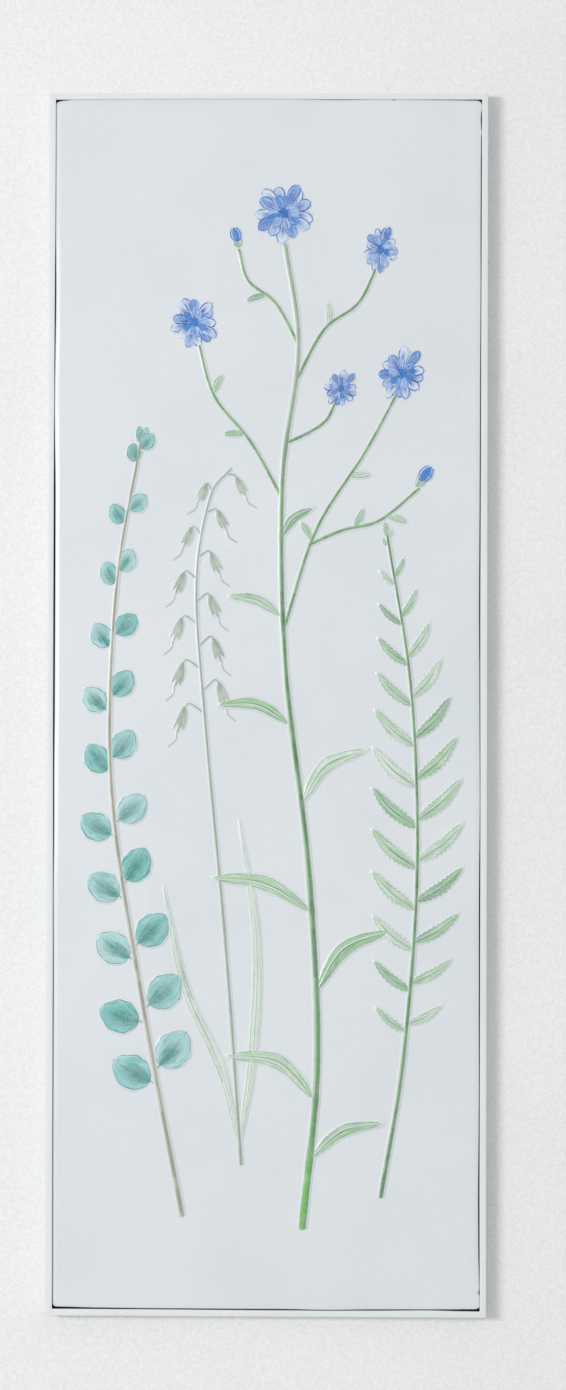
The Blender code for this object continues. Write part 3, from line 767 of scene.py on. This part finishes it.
def make_sheet():
    """Make the enamelled sheet: a shallow tray with rounded corners and rims."""
    across = sheet_lines(HALF_WIDE, list(NICKS_ACROSS))
    upward = sheet_lines(HALF_TALL, list(NICKS_UPWARD))
    points = []
    for z in upward:
        for x in across:
            into_x = max(abs(x) - (HALF_WIDE - SHEET_CORNER), 0) / SHEET_CORNER
            into_z = max(abs(z) - (HALF_TALL - SHEET_CORNER), 0) / SHEET_CORNER
            round_x = into_x * math.sqrt(1 - into_z**2 / 2)
            round_z = into_z * math.sqrt(1 - into_x**2 / 2)
            px = x
            pz = z
            if into_x:
                px = math.copysign(HALF_WIDE - SHEET_CORNER + round_x * SHEET_CORNER, x)
            if into_z:
                pz = math.copysign(HALF_TALL - SHEET_CORNER + round_z * SHEET_CORNER, z)
            from_rim = SHEET_CORNER * max(1 - math.hypot(round_x, round_z), 0.0)
            rounded = 0.0
            if from_rim < SHEET_EDGE:
                rounded = SHEET_EDGE - math.sqrt(SHEET_EDGE**2 - (SHEET_EDGE - from_rim) ** 2)
            gap_x = level_at(GAP_RIGHT if x > 0 else GAP_LEFT, pz)
            gap_z = level_at(GAP_TOP if z > 0 else GAP_BOTTOM, px)
            nearest = gap_x if HALF_WIDE - abs(px) < HALF_TALL - abs(pz) else gap_z
            bevel = bevel_drop(HALF_WIDE - abs(px)) + bevel_drop(HALF_TALL - abs(pz))
            depth = sheet_depth(px, pz) - rounded * mix_shares(SHUT_ROUNDING, 1, nearest / SHUT_GAP)
            depth += bevel * (1 - mix_shares(SHUT_BEVEL, 1, nearest / SHUT_GAP))
            wide_opening = PANEL_WIDE / 2 - level_at(FACE_RIGHT if x > 0 else FACE_LEFT, pz)
            tall_opening = PANEL_TALL / 2 - level_at(FACE_TOP if z > 0 else FACE_BOTTOM, px)
            near_x = ease(1 - (HALF_WIDE - abs(px)) / RIM_REACH)
            near_z = ease(1 - (HALF_TALL - abs(pz)) / RIM_REACH)
            px += (wide_opening - HALF_WIDE - gap_x) * near_x * math.copysign(1, x)
            pz += (tall_opening - HALF_TALL - gap_z) * near_z * math.copysign(1, z)
            points.append((px * MM, -depth * MM, pz * MM))
    wide = len(across)
    tall = len(upward)
    faces = []
    for row in range(tall - 1):
        for column in range(wide - 1):
            first = row * wide + column
            faces.append((first, first + 1, first + wide + 1, first + wide))
    rim = list(range(wide))
    rim += [row * wide + wide - 1 for row in range(1, tall)]
    rim += [(tall - 1) * wide + column for column in range(wide - 2, -1, -1)]
    rim += [row * wide for row in range(tall - 2, 0, -1)]
    for depth in (SHEET_FRONT - SHEET_EDGE - RIM_TURN, RIM_BACK):
        start = len(points)
        for index in rim:
            x, _, z = points[index]
            points.append((x, -depth * MM, z))
        added = list(range(start, start + len(rim)))
        faces += flipped(band(rim, added))
        rim = added
    mesh = bpy.data.meshes.new("embossed_sheet_enamel")
    mesh.from_pydata(points, [], faces)
    mesh.validate()
    mesh.shade_smooth()
    mesh.materials.append(enamel_material())
    sheet = link_object("embossed_sheet_enamel", mesh)
    solid = sheet.modifiers.new("Thickness", "SOLIDIFY")
    solid.thickness = SHEET_THICKNESS * MM
    solid.offset = -1
    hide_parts("embossed_sheet")
    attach(sheet, "root")


def rail_section():
    """Outline a slat's rounded section as (from the outer face, from the wall, painted shade)."""
    corners = (
        (RAIL_ROUNDING, RAIL_ROUNDING, 180),
        (RAIL_FACE - RAIL_ROUNDING, RAIL_ROUNDING, 270),
        (RAIL_FACE - RAIL_ROUNDING, FRAME_DEPTH - RAIL_ROUNDING, 0),
        (RAIL_ROUNDING, FRAME_DEPTH - RAIL_ROUNDING, 90),
    )
    points = []
    for middle, depth, start in corners:
        if start == 0:
            # Painted shade down the inner side, from the back to below the front
            points.append((RAIL_FACE, RIM_BACK, 1.0))
            points.append((RAIL_FACE, FRAME_DEPTH - GAP_SHADE_DROP - GAP_SHADE_EDGE, 1.0))
            points.append((RAIL_FACE, FRAME_DEPTH - GAP_SHADE_DROP, 0.0))
        for step in range(ARC_STEPS + 1):
            angle = math.radians(start + 90 * step / ARC_STEPS)
            across = middle + RAIL_ROUNDING * math.cos(angle)
            points.append((across, depth + RAIL_ROUNDING * math.sin(angle), 0.0))
    return points


def make_rails(material):
    """Make the four slats, with hairline mitres and faces that vary a little in width."""
    section = rail_section()
    half_wide = PANEL_WIDE / 2
    half_tall = PANEL_TALL / 2
    sides = (
        ("top", 1, half_tall, half_wide, FACE_TOP, FACE_LEFT[-1][1], FACE_RIGHT[-1][1]),
        ("bottom", -1, half_tall, half_wide, FACE_BOTTOM, FACE_LEFT[0][1], FACE_RIGHT[0][1]),
        ("right", 1, half_wide, half_tall, FACE_RIGHT, FACE_BOTTOM[-1][1], FACE_TOP[-1][1]),
        ("left", -1, half_wide, half_tall, FACE_LEFT, FACE_BOTTOM[0][1], FACE_TOP[0][1]),
    )
    for name, side, outer, reach, faces_at, low_neighbour, high_neighbour in sides:
        rings = []
        points = []
        # Painted shade share of each vertex, 1 on the inner side
        dark = []
        for station in range(RAIL_STATIONS + 1):
            share = station / RAIL_STATIONS
            face = level_at(faces_at, reach * (2 * share - 1))
            ring = []
            for inward, depth, painted in section:
                lift = (depth - RIM_BACK) / (FRAME_DEPTH - RAIL_ROUNDING - RIM_BACK)
                widen = inward * mix_shares(RAIL_FACE, face, lift) / RAIL_FACE - inward
                start = inward * mix_shares(RAIL_FACE, low_neighbour, lift) / RAIL_FACE
                end = inward * mix_shares(RAIL_FACE, high_neighbour, lift) / RAIL_FACE
                along = -reach + start + MITRE_GAP
                along += (2 * reach - start - end - 2 * MITRE_GAP) * share
                away = (outer - inward - widen) * side
                x, z = (along, away) if name in ("top", "bottom") else (away, along)
                ring.append(len(points))
                points.append((x * MM, -depth * MM, z * MM))
                dark.append(painted)
            rings.append(ring)
        faces = [tuple(rings[0]), tuple(reversed(rings[-1]))]
        for first, second in zip(rings, rings[1:]):
            faces += flipped(band(first, second))
        if name in ("top", "left"):
            faces = flipped(faces)
        mesh = bpy.data.meshes.new(f"slat_{name}")
        mesh.from_pydata(points, [], faces)
        keep_values(mesh, "painted_gap_shade", dark)
        mesh.shade_smooth()
        mesh.set_sharp_from_angle(angle=math.radians(SHARP_ANGLE))
        mesh.materials.append(material)
        slat = link_object(f"slat_{name}", mesh)
        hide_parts(f"frame_rail_{name}")
        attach(slat, "root")


def stem_width(start, end, knots=()):
    """Give a stem's half width along it, a little thicker where leaves join."""

    def width(share):
        half = mix_shares(start, end, share)
        half *= 1 + 0.05 * math.sin(share * 41) + 0.03 * math.sin(share * 97)
        for knot in knots:
            half += 0.35 * math.exp(-(((share - knot) / 0.006) ** 2))
        return half

    return width


def leaf_width(width, pointed=1.0, full=0.7, wave=0.0):
    """Give a leaf's half width along it."""

    def at(share):
        half = width / 2 * math.sin(math.pi * min(max(share, 0), 1) ** pointed) ** full
        return half * (1 + wave * math.sin(share * 19 + width))

    return at


def make_aster():
    """Make the tall plant: stems, long leaves, flowers and buds."""
    stem_line = smooth_line(ASTER_STEM, STEM_POINTS)
    stem_paint = wash_material(
        "aster_stem_wash", STEM_GREENS, streaks=STEM_STREAKS, pool=0.1, core=0.2, overlap=0.45,
        shadow_side=0.5, fade=0.3, ends=(SPRING_GREEN, SAGE_MID),
    )
    stalk_paint = wash_material(
        "aster_stalk_wash", STEM_GREENS, streaks=STEM_STREAKS, balance=-0.03, pool=0.1, core=0.16,
        overlap=0.35, shadow_side=0.4, fade=0.3,
    )
    leaf_paint = wash_material(
        "aster_leaf_wash", (GREEN_LIGHT, GREEN_MID, GREEN_DARK, GREEN_INK), streaks=3.4, balance=0.02,
        pool=0.35, outline=0.55, rib_line=0.7, rib_light=0.8, bare_tip=1.2, fade=0.35, variety=0.24,
    )
    stem = Relief("aster_stem")
    shape = stem_width(2.9, 1.6, [leaf[0] for leaf in ASTER_LEAVES])
    stem.add_strip(stem_line, shape, RISE_STEM, 1.8, 10, 420, dome=0.35, blunt=True)
    stem.finish(stem_paint)
    stems = Relief("aster_stalks")
    stalks = [smooth_line(stalk, 60) for stalk in ASTER_STALKS]
    for stalk in stalks:
        stems.add_strip(stalk, stem_width(1.5, 1.15), RISE_STALK, 1.6, 8, 70, dome=0.25)
    stems.finish(stalk_paint)

    leaves = Relief("aster_leaves")
    for share, side, length, width, up, droop in ASTER_LEAVES:
        base, heading = on_line(stem_line, share)
        line = curved_leaf(base, turned(heading, -side * (90 - up)), length, -side * droop)
        shape = leaf_width(width, 1.0, 0.7, 0.05)
        leaves.add_strip(line, shape, RISE_LEAF, 1.9, 14, 60, rib=0.25, dome=0.15)
    for number, share, side in STALK_LEAVES:
        base, heading = on_line(stalks[number], share)
        heading = turned(heading, -side * STALK_LEAF_ANGLE)
        line = curved_leaf(base, heading, STALK_LEAF_LENGTH, -side * STALK_LEAF_DROOP)
        leaves.add_strip(line, leaf_width(STALK_LEAF_WIDTH), RISE_LEAF, 1.6, 8, 20, rib=0.15)
    for x, z, length, width, lean in ASTER_BUDS:
        heading = turned(UP, lean)
        base = Vector((x, z)) - heading * length * 0.62
        shape = leaf_width(width * 0.55, 1.1)
        for spread in (-34, 34, 0):
            line = curved_leaf(base, turned(heading, spread * 0.5), length * 0.66, -spread * 0.7)
            leaves.add_strip(line, shape, RISE_LEAF, 1.2, 6, 16, rib=0.1, bleed=0.15)
    leaves.finish(leaf_paint)
    make_aster_flowers()


def make_aster_flowers():
    """Make the tall plant's flowers and the petals of its buds."""
    petal_paint = wash_material(
        "aster_petal_wash", (BLUE_LIGHT, BLUE_MID, BLUE_DARK, BLUE_INK), streaks=2.6, balance=-0.05,
        pool=0.5, outline=1.0, outline_width=1.6, heart=1.0, heart_reach=0.9, fade=0.35, variety=0.55,
    )
    inner_paint = wash_material(
        "aster_inner_wash", (BLUE_MID, BLUE_MID, BLUE_DARK, BLUE_INK), streaks=2.4, balance=0.12,
        pool=0.6, outline=0.9, outline_width=1.1, rib_line=0.6, variety=0.6,
    )
    heart_paint = wash_material(
        "aster_heart_wash", (BLUE_MID, BLUE_DARK, BLUE_INK, BLUE_INK), streaks=2.0, balance=0.12,
        pool=0.7, fade=0.1,
    )
    petals = Relief("aster_petals")
    inner = Relief("aster_inner_petals")
    hearts = Relief("aster_hearts")
    for x, z, length, width, lean in ASTER_BUDS:
        heading = turned(UP, lean)
        base = Vector((x, z)) - heading * length * 0.3
        for spread in (-22, 22, 0):
            line = curved_leaf(base, turned(heading, spread), length * 0.9, -spread)
            rise = RISE_PETAL if spread else RISE_BUD
            inner.add_strip(line, leaf_width(width * 0.6, 0.8), rise, 1.2, 8, 18)
    for flower in ASTER_FLOWERS:
        add_flower(petals, inner, hearts, flower)
    petals.finish(petal_paint)
    inner.finish(inner_paint)
    hearts.finish(heart_paint)


def add_flower(petals, inner, hearts, flower):
    """Add one daisy-like flower: outer petals, inner petals and a heart of small knobs."""
    x, z, radius, squeeze, lean = flower
    centre = Vector((x, z))

    def spot(angle, reach):
        flat = Vector((math.cos(angle) * squeeze, math.sin(angle))) * reach
        return centre + turned(flat, lean)

    for relief, count, turn, start, reach, width, rise in (
        (petals, PETALS, 0.34, 0.12, 1.0, 0.42, RISE_PETAL),
        (inner, INNER_PETALS, 0.84, 0.08, 0.6, 0.32, RISE_INNER),
    ):
        near = radius * start
        for number in range(count):
            angle = 2 * math.pi * (number + turn) / count
            angle += 0.09 * math.sin(number * 2.3 + x)
            far = radius * reach * (1 + 0.09 * math.sin(number * 3.7 + z))
            bend = 0.12 * math.sin(number * 1.9 + x)
            middle = spot(angle + bend * 0.4, (near + far) / 2)
            line = smooth_line([spot(angle, near), middle, spot(angle + bend, far)], 15)
            facing = 1 - (1 - squeeze) * abs(math.sin(angle)) * 0.9
            shape = leaf_width(radius * width * facing, 1.7, 0.55)
            height = rise * (1 + 0.08 * (number % 3))
            relief.add_strip(line, shape, height, 1.3, 10, 18, rib=-0.12)
    half = radius * 0.16
    disc = [spot(0.6, half), centre, spot(0.6 + math.pi, half)]
    hearts.add_strip(disc, leaf_width(half * 2, 1.0, 0.5), RISE_HEART, 0.5, 10, 10, dome=0.08, bleed=0.5)
    shape = leaf_width(radius * 0.085, 1.0, 0.5)
    for number in range(HEART_KNOBS):
        angle = number * GOLDEN_ANGLE
        out = radius * 0.2 * math.sqrt((number + 0.4) / HEART_KNOBS)
        start = spot(angle, out)
        end = spot(angle, out + radius * 0.06)
        knob = [start, start.lerp(end, 0.5), end]
        hearts.add_strip(knob, shape, RISE_KNOB, 0.5, 4, 4, dome=0.15, bleed=0.3)


def make_teal_branch():
    """Make the branch of round leaves."""
    stem_line = smooth_line(TEAL_STEM, STEM_POINTS)
    stem_paint = wash_material(
        "teal_stem_wash", (BEIGE_LIGHT, BEIGE_MID, BEIGE_DARK, BEIGE_INK), streaks=STEM_STREAKS,
        balance=0.04, pool=0.15, core=0.16, overlap=0.5, shadow_side=0.4, fade=0.25,
    )
    leaf_paint = wash_material(
        "teal_leaf_wash", TEALS, streaks=2.8, balance=-0.04,
        pool=0.35, outline=0.8, outline_width=1.1, rib_line=0.5, heart=0.75, heart_reach=0.9, fade=0.35,
        variety=0.26,
    )
    stems = Relief("teal_branch_stem")
    leaves = Relief("teal_branch_leaves")
    stems.add_strip(stem_line, stem_width(2.1, 1.2), RISE_STEM, 1.7, 8, 300, dome=0.3, blunt=True)
    for number in range(TEAL_PAIRS):
        share = number / (TEAL_PAIRS - 1)
        length = mix_shares(TEAL_LEAF_LARGE, TEAL_LEAF_SMALL, share**1.2)
        for side in (-1, 1):
            place = mix_shares(TEAL_FIRST, TEAL_LAST, share) + TEAL_OFFSET * (side > 0)
            base, heading = on_line(stem_line, place)
            angle = mix_shares(TEAL_ANGLE_LOW, TEAL_ANGLE_HIGH, share)
            wobble = TEAL_WOBBLE * math.sin(2.4 * number + side)
            line = curved_leaf(base, turned(heading, wobble - side * angle), length, side * TEAL_DROOP)
            foot, _ = on_line(line, 0.2)
            stalk = [base, base.lerp(foot, 0.5), foot]
            stems.add_strip(stalk, stem_width(1.0, 0.8), RISE_LEAF, 1.2, 4, 8)
            blade = [on_line(line, 0.14 + 0.86 * step / 24)[0] for step in range(25)]
            width = leaf_width(length * TEAL_LEAF_SHAPE * 1.04, 0.92, 0.62, 0.03)
            leaves.add_strip(blade, width, RISE_LEAF, 1.9, 18, 28, rib=0.2, dome=0.25)
    tip, heading = on_line(stem_line, 1.0)
    for spread in (-16, 10):
        line = curved_leaf(tip - heading * 2, turned(heading, spread), 15, 6)
        leaves.add_strip(line, leaf_width(7), RISE_LEAF, 1.4, 8, 14, rib=0.15)
    stems.finish(stem_paint)
    leaves.finish(leaf_paint)


def fern_width(width, lobes):
    """Give a pinna's half width, with small rounded lobes along its edges."""
    plain = leaf_width(width, 0.8, 0.65)

    def at(share):
        return plain(share) * (0.8 + 0.26 * abs(math.sin(math.pi * lobes * share)))

    return at


def make_fern():
    """Make the fern frond."""
    stem_line = smooth_line(FERN_STEM, STEM_POINTS)
    stem_paint = wash_material(
        "fern_stem_wash", STEM_GREENS, streaks=STEM_STREAKS, pool=0.1, core=0.18, overlap=0.4,
        shadow_side=0.4, fade=0.3,
    )
    leaf_paint = wash_material(
        "fern_leaf_wash", (GREEN_LIGHT, GREEN_MID, GREEN_DARK, GREEN_INK), streaks=2.6, pool=0.3,
        outline=0.5, rib_line=0.65, rib_light=0.6, bare_tip=0.8, heart=0.3, heart_reach=0.5, fade=0.35,
        variety=0.26,
    )
    stems = Relief("fern_stem")
    leaves = Relief("fern_pinnae")
    stems.add_strip(stem_line, stem_width(1.9, 1.1), RISE_STEM, 1.7, 8, 280, dome=0.3, blunt=True)
    for number in range(FERN_PAIRS):
        share = number / (FERN_PAIRS - 1)
        length = FERN_PINNA_LONGEST * (math.sin(math.pi * (0.2 + 0.78 * share)) ** 0.9 + 0.08)
        width = max(length * FERN_PINNA_WIDTH, FERN_PINNA_NARROWEST)
        shape = fern_width(width, max(int(length / 4.2), 3))
        for side in (-1, 1):
            place = mix_shares(FERN_FIRST, FERN_LAST, share) + FERN_OFFSET * (side > 0)
            base, heading = on_line(stem_line, place)
            angle = mix_shares(FERN_ANGLE_LOW, FERN_ANGLE_HIGH, share)
            line = curved_leaf(base, turned(heading, -side * angle), length, side * FERN_DROOP)
            leaves.add_strip(line, shape, RISE_LEAF, 1.6, 10, int(length * 1.3) + 8, rib=0.2)
    tip, heading = on_line(stem_line, 1.0)
    line = curved_leaf(tip - heading * 2, heading, 13, 4)
    leaves.add_strip(line, fern_width(4.6, 3), RISE_LEAF, 1.3, 8, 20, rib=0.2)
    stems.finish(stem_paint)
    leaves.finish(leaf_paint)


def make_grass():
    """Make the oat-like grass with hanging spikelets."""
    stem_line = smooth_line(GRASS_STEM, STEM_POINTS)
    stem_paint = wash_material(
        "grass_stem_wash", (SAGE_LIGHT, SAGE_MID, SAGE_DARK, SAGE_INK), streaks=STEM_STREAKS,
        balance=0.06, pool=0.15, core=0.16, shadow_side=0.5,
    )
    husk_paint = wash_material(
        "grass_husk_wash", (BEIGE_LIGHT, SAGE_MID, SAGE_DARK, SAGE_INK), streaks=2.2, balance=0.06,
        outline=0.6, rib_line=0.6, heart=0.4, heart_reach=0.5,
    )
    blade_paint = wash_material(
        "grass_blade_wash", (SAGE_LIGHT, GREEN_LIGHT, SAGE_DARK, GREEN_DARK), streaks=2.4, balance=0.04,
        pool=0.3, outline=0.45, rib_line=0.5, rib_light=0.7, fade=0.3,
    )
    stems = Relief("grass_stems")
    husks = Relief("grass_spikelets")
    blades = Relief("grass_blades")
    stems.add_strip(stem_line, stem_width(1.5, 0.85), RISE_GRASS, 1.6, 8, 300, dome=0.2, blunt=True)
    for number in range(SPIKELETS):
        share = number / (SPIKELETS - 1)
        side = 1 if number % 2 else -1
        base, heading = on_line(stem_line, mix_shares(SPIKELET_FIRST, SPIKELET_LAST, share))
        reach = mix_shares(SPIKELET_REACH_LOW, SPIKELET_REACH_HIGH, share)
        out = turned(heading, -side * 52)
        foot = base + out * reach * 0.75 - UP * reach * 0.25
        stalk = smooth_line([base, base + out * reach * 0.55, foot], 20)
        stems.add_strip(stalk, stem_width(0.7, 0.55), RISE_LEAF, 1.3, 4, 20, bleed=0.15)
        down = turned(-UP, side * (12 + 10 * share))
        length = SPIKELET_LENGTH * (1 - 0.25 * share)
        shape = leaf_width(SPIKELET_WIDTH * 0.6, 0.75)
        for spread in (-11, 11, 0):
            husk = length * (1 - 0.012 * abs(spread))
            line = curved_leaf(foot - down * 1.5, turned(down, spread), husk, side * 8)
            husks.add_strip(line, shape, RISE_LEAF, 1.4, 8, 18, rib=0.15)
        tail = line[-1]
        awn = smooth_line([tail, tail + down * 6, tail + turned(down, side * 20) * 13], 12)
        stems.add_strip(awn, stem_width(0.4, 0.2), RISE_AWN, 1.0, 4, 12, bleed=0.3)
    for blade in GRASS_BLADES:
        width = leaf_width(BLADE_WIDTH, 0.8, 0.75, 0.04)
        blades.add_strip(smooth_line(blade, 60), width, RISE_LEAF, 1.8, 12, 130, rib=0.25)
    stems.finish(stem_paint)
    husks.finish(husk_paint)
    blades.finish(blade_paint)


def stage_surface(name, points, faces, material):
    """Make a flat surface of the room."""
    mesh = bpy.data.meshes.new(name)
    mesh.from_pydata(points, [], faces)
    mesh.materials.append(material)
    surface = link_object(name, mesh)


def wall_material():
    """White wall paint with a faint roller texture. Its back side is clear to look through."""
    nodes = Nodes("stage_wall")
    roller = nodes.noise(240.0, 3.0, 0.65)
    patch = nodes.noise(5.0)
    colour = nodes.mix(nodes.ramp(patch), WALL_WHITE, WALL_PATCH)
    colour = nodes.shaded(colour, roller, 0.975, 1.02)
    colour = nodes.shaded(colour, nodes.noise(620.0, 2.0, 0.6), 0.95, 1.044)
    nodes.done(colour, 0.85, nodes.bump(roller, ROLLER_DEPTH, 0.5))
    geometry = nodes.tree.nodes.new("ShaderNodeNewGeometry")
    path = nodes.tree.nodes.new("ShaderNodeLightPath")
    clear = nodes.tree.nodes.new("ShaderNodeBsdfTransparent")
    mixed = nodes.tree.nodes.new("ShaderNodeMixShader")
    behind = nodes.math("MULTIPLY", geometry.outputs["Backfacing"], path.outputs["Is Camera Ray"])
    nodes.link(behind, mixed.inputs[0])
    nodes.link(nodes.shader.outputs[0], mixed.inputs[1])
    nodes.link(clear.outputs[0], mixed.inputs[2])
    output = nodes.tree.nodes["Material Output"]
    nodes.link(mixed.outputs[0], output.inputs["Surface"])
    return nodes.material


def corners_of(half, low, high):
    """Give the corners of a rectangle that is centred sideways."""
    return [(-half, low), (half, low), (half, high), (-half, high)]


def make_room():
    """Stage the wall, open behind the panel, and the floor below it."""
    hole_wide = CAD_BOX[1][0] - WALL_LAP
    hole_tall = CAD_BOX[1][2] - WALL_LAP
    corners = corners_of(WALL_REACH, -FLOOR_DROP, WALL_REACH)
    corners += corners_of(hole_wide, -hole_tall, hole_tall)
    points = [(x, WALL_BACK_OFF, z) for x, z in corners]
    faces = [(index, (index + 1) % 4, (index + 1) % 4 + 4, index + 4) for index in range(4)]
    stage_surface("stage_wall", points, faces, wall_material())
    floor_paint = Nodes("stage_floor").done(FLOOR_PALE, 0.8)
    points = [(x, y, -FLOOR_DROP) for x, y in corners_of(FLOOR_REACH, -FLOOR_REACH, FLOOR_REACH)]
    stage_surface("stage_floor", points, [(0, 1, 2, 3)], floor_paint)


def add_light(name, shape, size, power, place):
    """Add a soft light that faces the panel."""
    light = bpy.data.lights.new(name, "AREA")
    light.shape = shape
    light.size = size
    light.energy = power
    lamp = link_object(name, light)
    lamp.location = place
    lamp.rotation_euler = Vector(place).to_track_quat("Z", "Y").to_euler()
    lamp.visible_camera = False
    return light


def make_lights():
    """Light the panel softly from the left, with an even fill and a light behind the wall."""
    side = math.radians(KEY_ANGLE)
    lift = math.radians(KEY_LIFT)
    direction = Vector(
        (-math.sin(side) * math.cos(lift), -math.cos(side) * math.cos(lift), math.sin(lift))
    )
    key = add_light("key_light", "ELLIPSE", KEY_WIDTH, KEY_POWER, direction * KEY_DISTANCE)
    key.size_y = KEY_HEIGHT
    key.color = KEY_TINT
    add_light("back_light", "DISK", BACK_SIZE, BACK_POWER, BACK_PLACE)
    world = bpy.data.worlds.new("soft_fill")
    world.use_nodes = True
    background = world.node_tree.nodes["Background"]
    background.inputs["Color"].default_value = (1.0, 1.0, 1.0, 1.0)
    background.inputs["Strength"].default_value = FILL_STRENGTH
    bpy.context.scene.world = world


def make_camera():
    """Place the camera where the photograph was taken from."""
    data = bpy.data.cameras.new("camera")
    data.lens = CAMERA_LENS
    data.sensor_fit = "AUTO"
    data.sensor_width = CAMERA_SENSOR
    camera = link_object("camera", data)
    camera.location = CAMERA_PLACE
    camera.rotation_euler = (
        math.radians(90 + CAMERA_PITCH),
        math.radians(CAMERA_ROLL),
        math.radians(CAMERA_YAW),
    )
    bpy.context.scene.camera = camera


make_camera()
make_lights()
make_room()
dress_cad_nodes()
make_rails(lacquer_material())
make_sheet()
make_aster()
make_teal_branch()
make_fern()
make_grass()
bpy.context.scene.view_settings.view_transform = "Standard"
bpy.context.view_layer.update()
